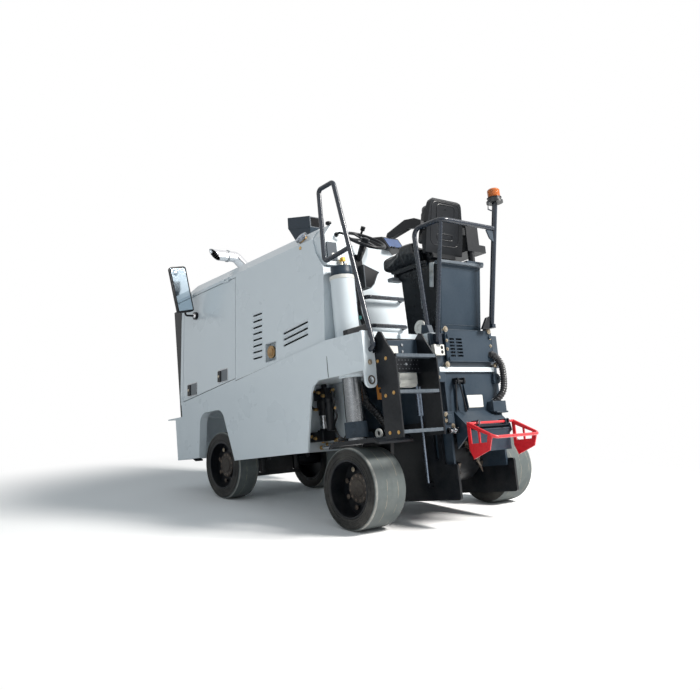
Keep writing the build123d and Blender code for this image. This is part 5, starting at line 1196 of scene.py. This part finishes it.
def dash_switch(x, y):
    """A rocker on the sloping dash: a leaning box whose height follows the slope."""
    z = 1.950 + 0.051 * (y - 0.095) / 0.166
    outline = [(y - 0.008, z - 0.002), (y + 0.008, z + 0.003), (y + 0.008, z + 0.012), (y - 0.008, z + 0.007)]
    return prism(outline, 0, x - 0.010, x + 0.010)


def cable(number):
    """One cable of the bundle: the shared route, set off round its middle, with its own slow side sway."""
    shift = np.array([0.010 * math.cos(number * 1.6), 0.012 * math.sin(number * 1.6), 0])
    sway = 0.006 * np.sin(np.arange(len(CABLE_ROUTE))[:, None] * (1 + number)) * (0, 1, 0)
    return tube(curve(CABLE_ROUTE + shift + sway), 0.0065, 10)


class PLANER_OT_controls(bpy.types.Operator):
    """Adds the steering boot, the dashboard's screen and switches, the console's boot and the cables"""
    bl_idname = "planer.controls"
    bl_label = "Controls"

    def execute(self, context):
        folds = [(0.030 - 0.05 * (down - 0.045) + 0.003 * math.sin(down * 600), -down)
                 for down in np.linspace(0.045, 0.150, 43)]
        boot = [(0.0210, -0.036), *folds, (0.0206, -0.156)]
        piece("steering_boot", [lathe(boot, HUB, COLUMN_AXIS, 32)], "hose rubber")
        horn = [(0.026, 0.0140), (0.026, 0.019), (0.018, 0.023), (0.004, 0.024)]
        piece("horn_button", [lathe(horn, HUB, COLUMN_AXIS, 32)], "gloss black", "steering_wheel")
        # both screens are tinted blue as painted reflection of sky
        piece("dash_screen", [prism(DASH_SCREEN, 0, 0.372, 0.480)], "screen glass")
        keys = [dash_switch(x, y) for x in (0.392, 0.424, 0.456) for y in (0.135, 0.175)]
        piece("dash_switches", keys, "black plastic", bevel=0.0015)
        piece("dash_trim", [band(DASH_EDGE, 0, 0.3605, 0.004)], "grey plastic")
        out = np.array([-PANEL_RISE[1], PANEL_RISE[0]])
        face = [PANEL_FOOT + PANEL_RISE * a + out * b
                for a, b in ((0.020, 0.0), (0.126, 0.0), (0.126, 0.003), (0.020, 0.003))]
        piece("instrument_screen", [prism(face, 1, -0.286, -0.124)], "screen glass", bevel=0.0008)
        x, z = PANEL_FOOT + PANEL_RISE * 0.012 + out * 0.001
        knobs = [lathe([(0.008, 0), (0.008, 0.008), (0.005, 0.010)], (x, y, z), (out[0], 0, out[1]), 16)
                 for y in (-0.145, -0.175, -0.235, -0.265)]
        piece("instrument_knobs", knobs, "black plastic")
        ribs = [(0.030, 0.0)] + [(0.031 - 0.30 * h + 0.0022 * math.sin(h * 900), h)
                                 for h in np.linspace(0.002, 0.040, 24)]
        piece("stick_boot", [lathe(ribs, (-0.165, -0.222, 2.153), UP, 28)], "hose rubber")
        blocks(CONTROL_BLOCKS)
        tray = rounded_rectangle(-0.376, -0.114, -0.356, -0.296, 0.012)
        piece("console_tray_rim", [band(tray, 2, 2.013, 0.0035)], "grey plastic")
        piece("cable_bundle", [cable(number) for number in range(CABLES)], "hose rubber")
        ties = [lathe([(0.022, -0.003), (0.022, 0.003)], place, (0, 0.1, 1), 20) for place in CABLE_TIES]
        piece("cable_ties", ties, "gloss black")
        lead = [(0.436, 0.290, 1.582), (0.450, 0.262, 1.575), (0.458, 0.245, 1.560)]
        piece("cable_plug_lead", [tube(curve(lead), 0.006, 8)], "hose rubber")
        arm = curve([(0.490, 0.330, 1.925), (0.430, 0.345, 1.940), (0.360, 0.352, 1.950)])
        grip = [(0.012, 0), (0.016, 0.010), (0.016, 0.030), (0.010, 0.036)]
        lever = [tube(arm, 0.007, 10), lathe(grip, (0.355, 0.352, 1.935), UP, 20)]
        piece("dash_lever", lever, "black plastic")
        return {"FINISHED"}


# ---- lamp and mirror ---------------------------------------------------------------------------------
# the lamp's foot follows the pole, which leans back with height
LAMP = (-0.450 - 0.19 * (2.265 - 1.336), -0.224, 2.299)
MIRROR = [(0.982, 2.318), (1.128, 2.296), (1.068, 1.904), (0.924, 1.928)]
MIRROR_GLASS_SHARE = 0.97
MIRROR_SPOT = [(0.026, 0), (0.024, 0.003), (0.016, 0.006), (0.004, 0.0075)]


class PLANER_OT_lamp_and_mirror(bpy.types.Operator):
    """Adds the ribbed lamp lens and the mirror's glass and mount"""
    bl_idname = "planer.lamp_and_mirror"
    bl_label = "Lamp and mirror"

    def execute(self, context):
        x, y, base = LAMP
        wall = [(0.0455 + 0.0012 * math.sin(h * 780), h) for h in np.linspace(0.003, 0.058, 56)]
        dome = [(0.0440, 0.064), (0.0370, 0.071), (0.0200, 0.0752), (0.0040, 0.0760)]
        profile = [(0.0480, 0.0), (0.0480, 0.003)] + wall + dome
        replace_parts(piece("lamp_lens", [lathe(profile, LAMP, UP, 72)], "orange lens"), "beacon_lens")
        piece("lamp_seal", [ring_shape(0.048, 0.055, 0.0, 0.006, (x, y, base - 0.001), UP)], "gloss black",
              bevel=0.001)
        door = "hood_door_left"
        centre = np.mean(MIRROR, axis=0)
        glass = [tuple(centre + (np.array(p) - centre) * MIRROR_GLASS_SHARE) for p in MIRROR]
        piece("mirror_face", [prism(glass, 0, 1.9485, 1.9505)], "mirror glass", door, 0.0006)
        piece("mirror_rim", [band(MIRROR, 0, 1.9505, 0.0055)], "black plastic", door)
        piece("mirror_spot", [lathe(MIRROR_SPOT, (1.9488, 1.082, 2.258), BACK, 32)], "mirror glass", door)
        ball = [(0.022 * math.cos(a), 0.022 * math.sin(a)) for a in np.linspace(-1.45, 1.45, 13)]
        piece("mirror_ball", [lathe(ball, (1.998, 0.8835, 1.885), LEFT, 28)], "chrome", door)
        clip = rounded_rectangle(1.000, 1.036, 2.080, 2.170, 0.008)
        piece("mirror_back_clip", [prism(clip, 0, 1.9795, 1.996)], "rung paint", door, 0.002)
        return {"FINISHED"}


# ---- stage -------------------------------------------------------------------------------------------
FLOOR_REACH = 60
# name: place, aim, size of the lamp's square, colour
LAMPS = {"key": ((-5.5, -3.2, 6.5), (-0.6, 0.0, 0.9), 2.2, (1.0, 0.97, 0.93)),
         "fill": ((-3.0, 7.0, 4.0), (0.0, 0.0, 1.0), 5.0, (0.93, 0.97, 1.0))}
CAMERA_PLACE, CAMERA_LENS, SENSOR = (-4.933, 4.143, 1.079), 39.23, 36.0
CAMERA_YAW, CAMERA_PITCH = -0.699, 0.034


def make_floor_finish():
    """Pale matte floor under the machine that runs out into plain white."""
    tree = blank("floor")
    place = wire(tree, "ShaderNodeTexCoord")
    flat = wire(tree, "ShaderNodeVectorMath", [(0, (place, "Object")), (1, (1.0, 1.0, 0.0))],
                operation="MULTIPLY")
    far = wire(tree, "ShaderNodeVectorMath", [(0, (flat, 0))], operation="LENGTH")
    fade = wire(tree, "ShaderNodeMapRange", [("Value", (far, "Value")), ("From Min", 2.3), ("From Max", 4.2)],
                interpolation_type="SMOOTHSTEP")
    rays = wire(tree, "ShaderNodeLightPath")
    seen = wire(tree, "ShaderNodeMath", [(0, (rays, "Is Camera Ray")), (1, (fade, 0))], operation="MULTIPLY")
    matte = wire(tree, "ShaderNodeBsdfDiffuse", [("Color", (0.93, 0.93, 0.93, 1))])
    white = wire(tree, "ShaderNodeEmission", [("Color", (1, 1, 1, 1)), ("Strength", 1.0)])
    both = wire(tree, "ShaderNodeMixShader", [(0, (seen, 0)), (1, (matte, 0)), (2, (white, 0))])
    wire(tree, "ShaderNodeOutputMaterial", [("Surface", (both, 0))])


def lamp(name, power):
    """A square area lamp at its place, turned to face its aim."""
    place, aim, size, colour = LAMPS[name]
    data = bpy.data.lights.new(name, "AREA")
    data.shape, data.size, data.energy, data.color = "SQUARE", size, power, colour
    made = bpy.data.objects.new(name, data)
    bpy.context.scene.collection.objects.link(made)
    turn = np.asarray(aim, float) - np.asarray(place, float)
    made.location = place
    made.rotation_euler = mathutils.Vector(turn).to_track_quat("-Z", "Y").to_euler()


class PLANER_OT_stage(bpy.types.Operator):
    """Adds the floor, the lamps, the pale surroundings and the camera"""
    bl_idname = "planer.stage"
    bl_label = "Stage and camera"

    def execute(self, context):
        looks = context.scene.planer_looks
        mesh = bpy.data.meshes.new("floor")
        corners = [(-1, -1, 0), (1, -1, 0), (1, 1, 0), (-1, 1, 0)]
        mesh.from_pydata(np.array(corners) * FLOOR_REACH, [], [(0, 1, 2, 3)])
        floor = bpy.data.objects.new("floor", mesh)
        context.scene.collection.objects.link(floor)
        make_floor_finish()
        mesh.materials.append(finish("floor"))
        world = bpy.data.worlds.new("surroundings")
        context.scene.world = world
        world.use_nodes = True
        tree = world.node_tree
        tree.nodes.clear()
        rays = wire(tree, "ShaderNodeLightPath")
        seen = wire(tree, "ShaderNodeMath", [(0, (rays, "Is Camera Ray")), (1, (rays, "Is Glossy Ray"))],
                    operation="MAXIMUM")
        dim = wire(tree, "ShaderNodeBackground", [("Color", (0.87, 0.95, 1.0, 1)), ("Strength", looks.sky)])
        white = wire(tree, "ShaderNodeBackground", [("Color", (1, 1, 1, 1)), ("Strength", 1.0)])
        both = wire(tree, "ShaderNodeMixShader", [(0, (seen, 0)), (1, (dim, 0)), (2, (white, 0))])
        wire(tree, "ShaderNodeOutputWorld", [("Surface", (both, 0))])
        lamp("key", looks.key)
        lamp("fill", looks.fill)
        lens = bpy.data.cameras.new("camera")
        lens.lens, lens.sensor_width = CAMERA_LENS, SENSOR
        camera = bpy.data.objects.new("camera", lens)
        context.scene.collection.objects.link(camera)
        level = math.cos(CAMERA_PITCH)
        ahead = mathutils.Vector((math.cos(CAMERA_YAW) * level, math.sin(CAMERA_YAW) * level,
                                  math.sin(CAMERA_PITCH)))
        camera.location = CAMERA_PLACE
        camera.rotation_euler = ahead.to_track_quat("-Z", "Y").to_euler()
        context.scene.camera = camera
        context.scene.view_settings.view_transform = "Standard"
        return {"FINISHED"}


class PlanerLooks(bpy.types.PropertyGroup):
    """Power of the lamps and strength of the surroundings"""
    key: bpy.props.FloatProperty(
        name="Key lamp", description="Power of the main lamp", default=1250.0, min=0.0, unit="POWER")
    fill: bpy.props.FloatProperty(
        name="Fill lamp", description="Power of the soft lamp on the left side", default=60.0, min=0.0,
        unit="POWER")
    sky: bpy.props.FloatProperty(
        name="Surroundings", description="Strength of the light from all round", default=0.41, min=0.0,
        subtype="FACTOR")


STEPS = [PLANER_OT_finishes, PLANER_OT_wheels, PLANER_OT_hood_trim, PLANER_OT_left_corner, PLANER_OT_rear,
         PLANER_OT_seat, PLANER_OT_controls, PLANER_OT_lamp_and_mirror, PLANER_OT_stage]


def paint(label, finish_name):
    """A colour setting whose default is the first tone of the finish."""
    return bpy.props.FloatVectorProperty(
        name=label, description=f"Colour of the {finish_name}", size=3, min=0.0, max=1.0, subtype="COLOR",
        default=FINISHES[finish_name][0])


class PlanerPaints(bpy.types.PropertyGroup):
    """Colours of the paints"""
    body: paint("Hood and frame", "white paint")
    trim: paint("Chamber and rear", "slate paint")
    guard: paint("Guard frame", "red paint")
    rails: paint("Handrails", "rail paint")
    seat: paint("Seat", "seat vinyl")


def length(label, description, default):
    """A length setting, in metres."""
    return bpy.props.FloatProperty(
        name=label, description=description, default=default, min=0.0005, unit="LENGTH")


class PlanerSizes(bpy.types.PropertyGroup):
    """Sizes of seams, hoses and studs"""
    seam: length("Hood seams", "Radius of the dark line between hood and frame", 0.0030)
    chamber_hose: length("Chamber hose", "Radius of the ribbed hose under the fender", 0.027)
    rear_hose: length("Rear hose", "Radius of the ribbed hose on the rear cover", 0.024)
    tread_stud: length("Saddle treads", "Radius of a stud on the left saddle", 0.0065)


GROUPS = {"planer_looks": PlanerLooks, "planer_paints": PlanerPaints, "planer_sizes": PlanerSizes}


class PLANER_PT_steps(bpy.types.Panel):
    """One button per step, then all settings"""
    bl_idname = "PLANER_PT_steps"
    bl_label = "Cold planer"
    bl_space_type = "VIEW_3D"
    bl_region_type = "UI"
    bl_category = "Planer"

    def draw(self, context):
        for step in STEPS:
            self.layout.operator(step.bl_idname)
        for name, kind in GROUPS.items():
            for setting in kind.__annotations__:
                self.layout.prop(getattr(context.scene, name), setting)


def register():
    """Makes the settings, the steps and the panel known, and hangs the settings on the scene."""
    for made in (*GROUPS.values(), *STEPS, PLANER_PT_steps):
        bpy.utils.register_class(made)
    for name, kind in GROUPS.items():
        setattr(bpy.types.Scene, name, bpy.props.PointerProperty(type=kind))


def unregister():
    """Undoes register in the opposite order."""
    for name in GROUPS:
        delattr(bpy.types.Scene, name)
    for made in (PLANER_PT_steps, *reversed(STEPS), *GROUPS.values()):
        bpy.utils.unregister_class(made)


def main():
    """Runs every step once."""
    register()
    for step in STEPS:
        family, name = step.bl_idname.split(".")
        getattr(getattr(bpy.ops, family), name)()


if __name__ == "__main__":
    main()
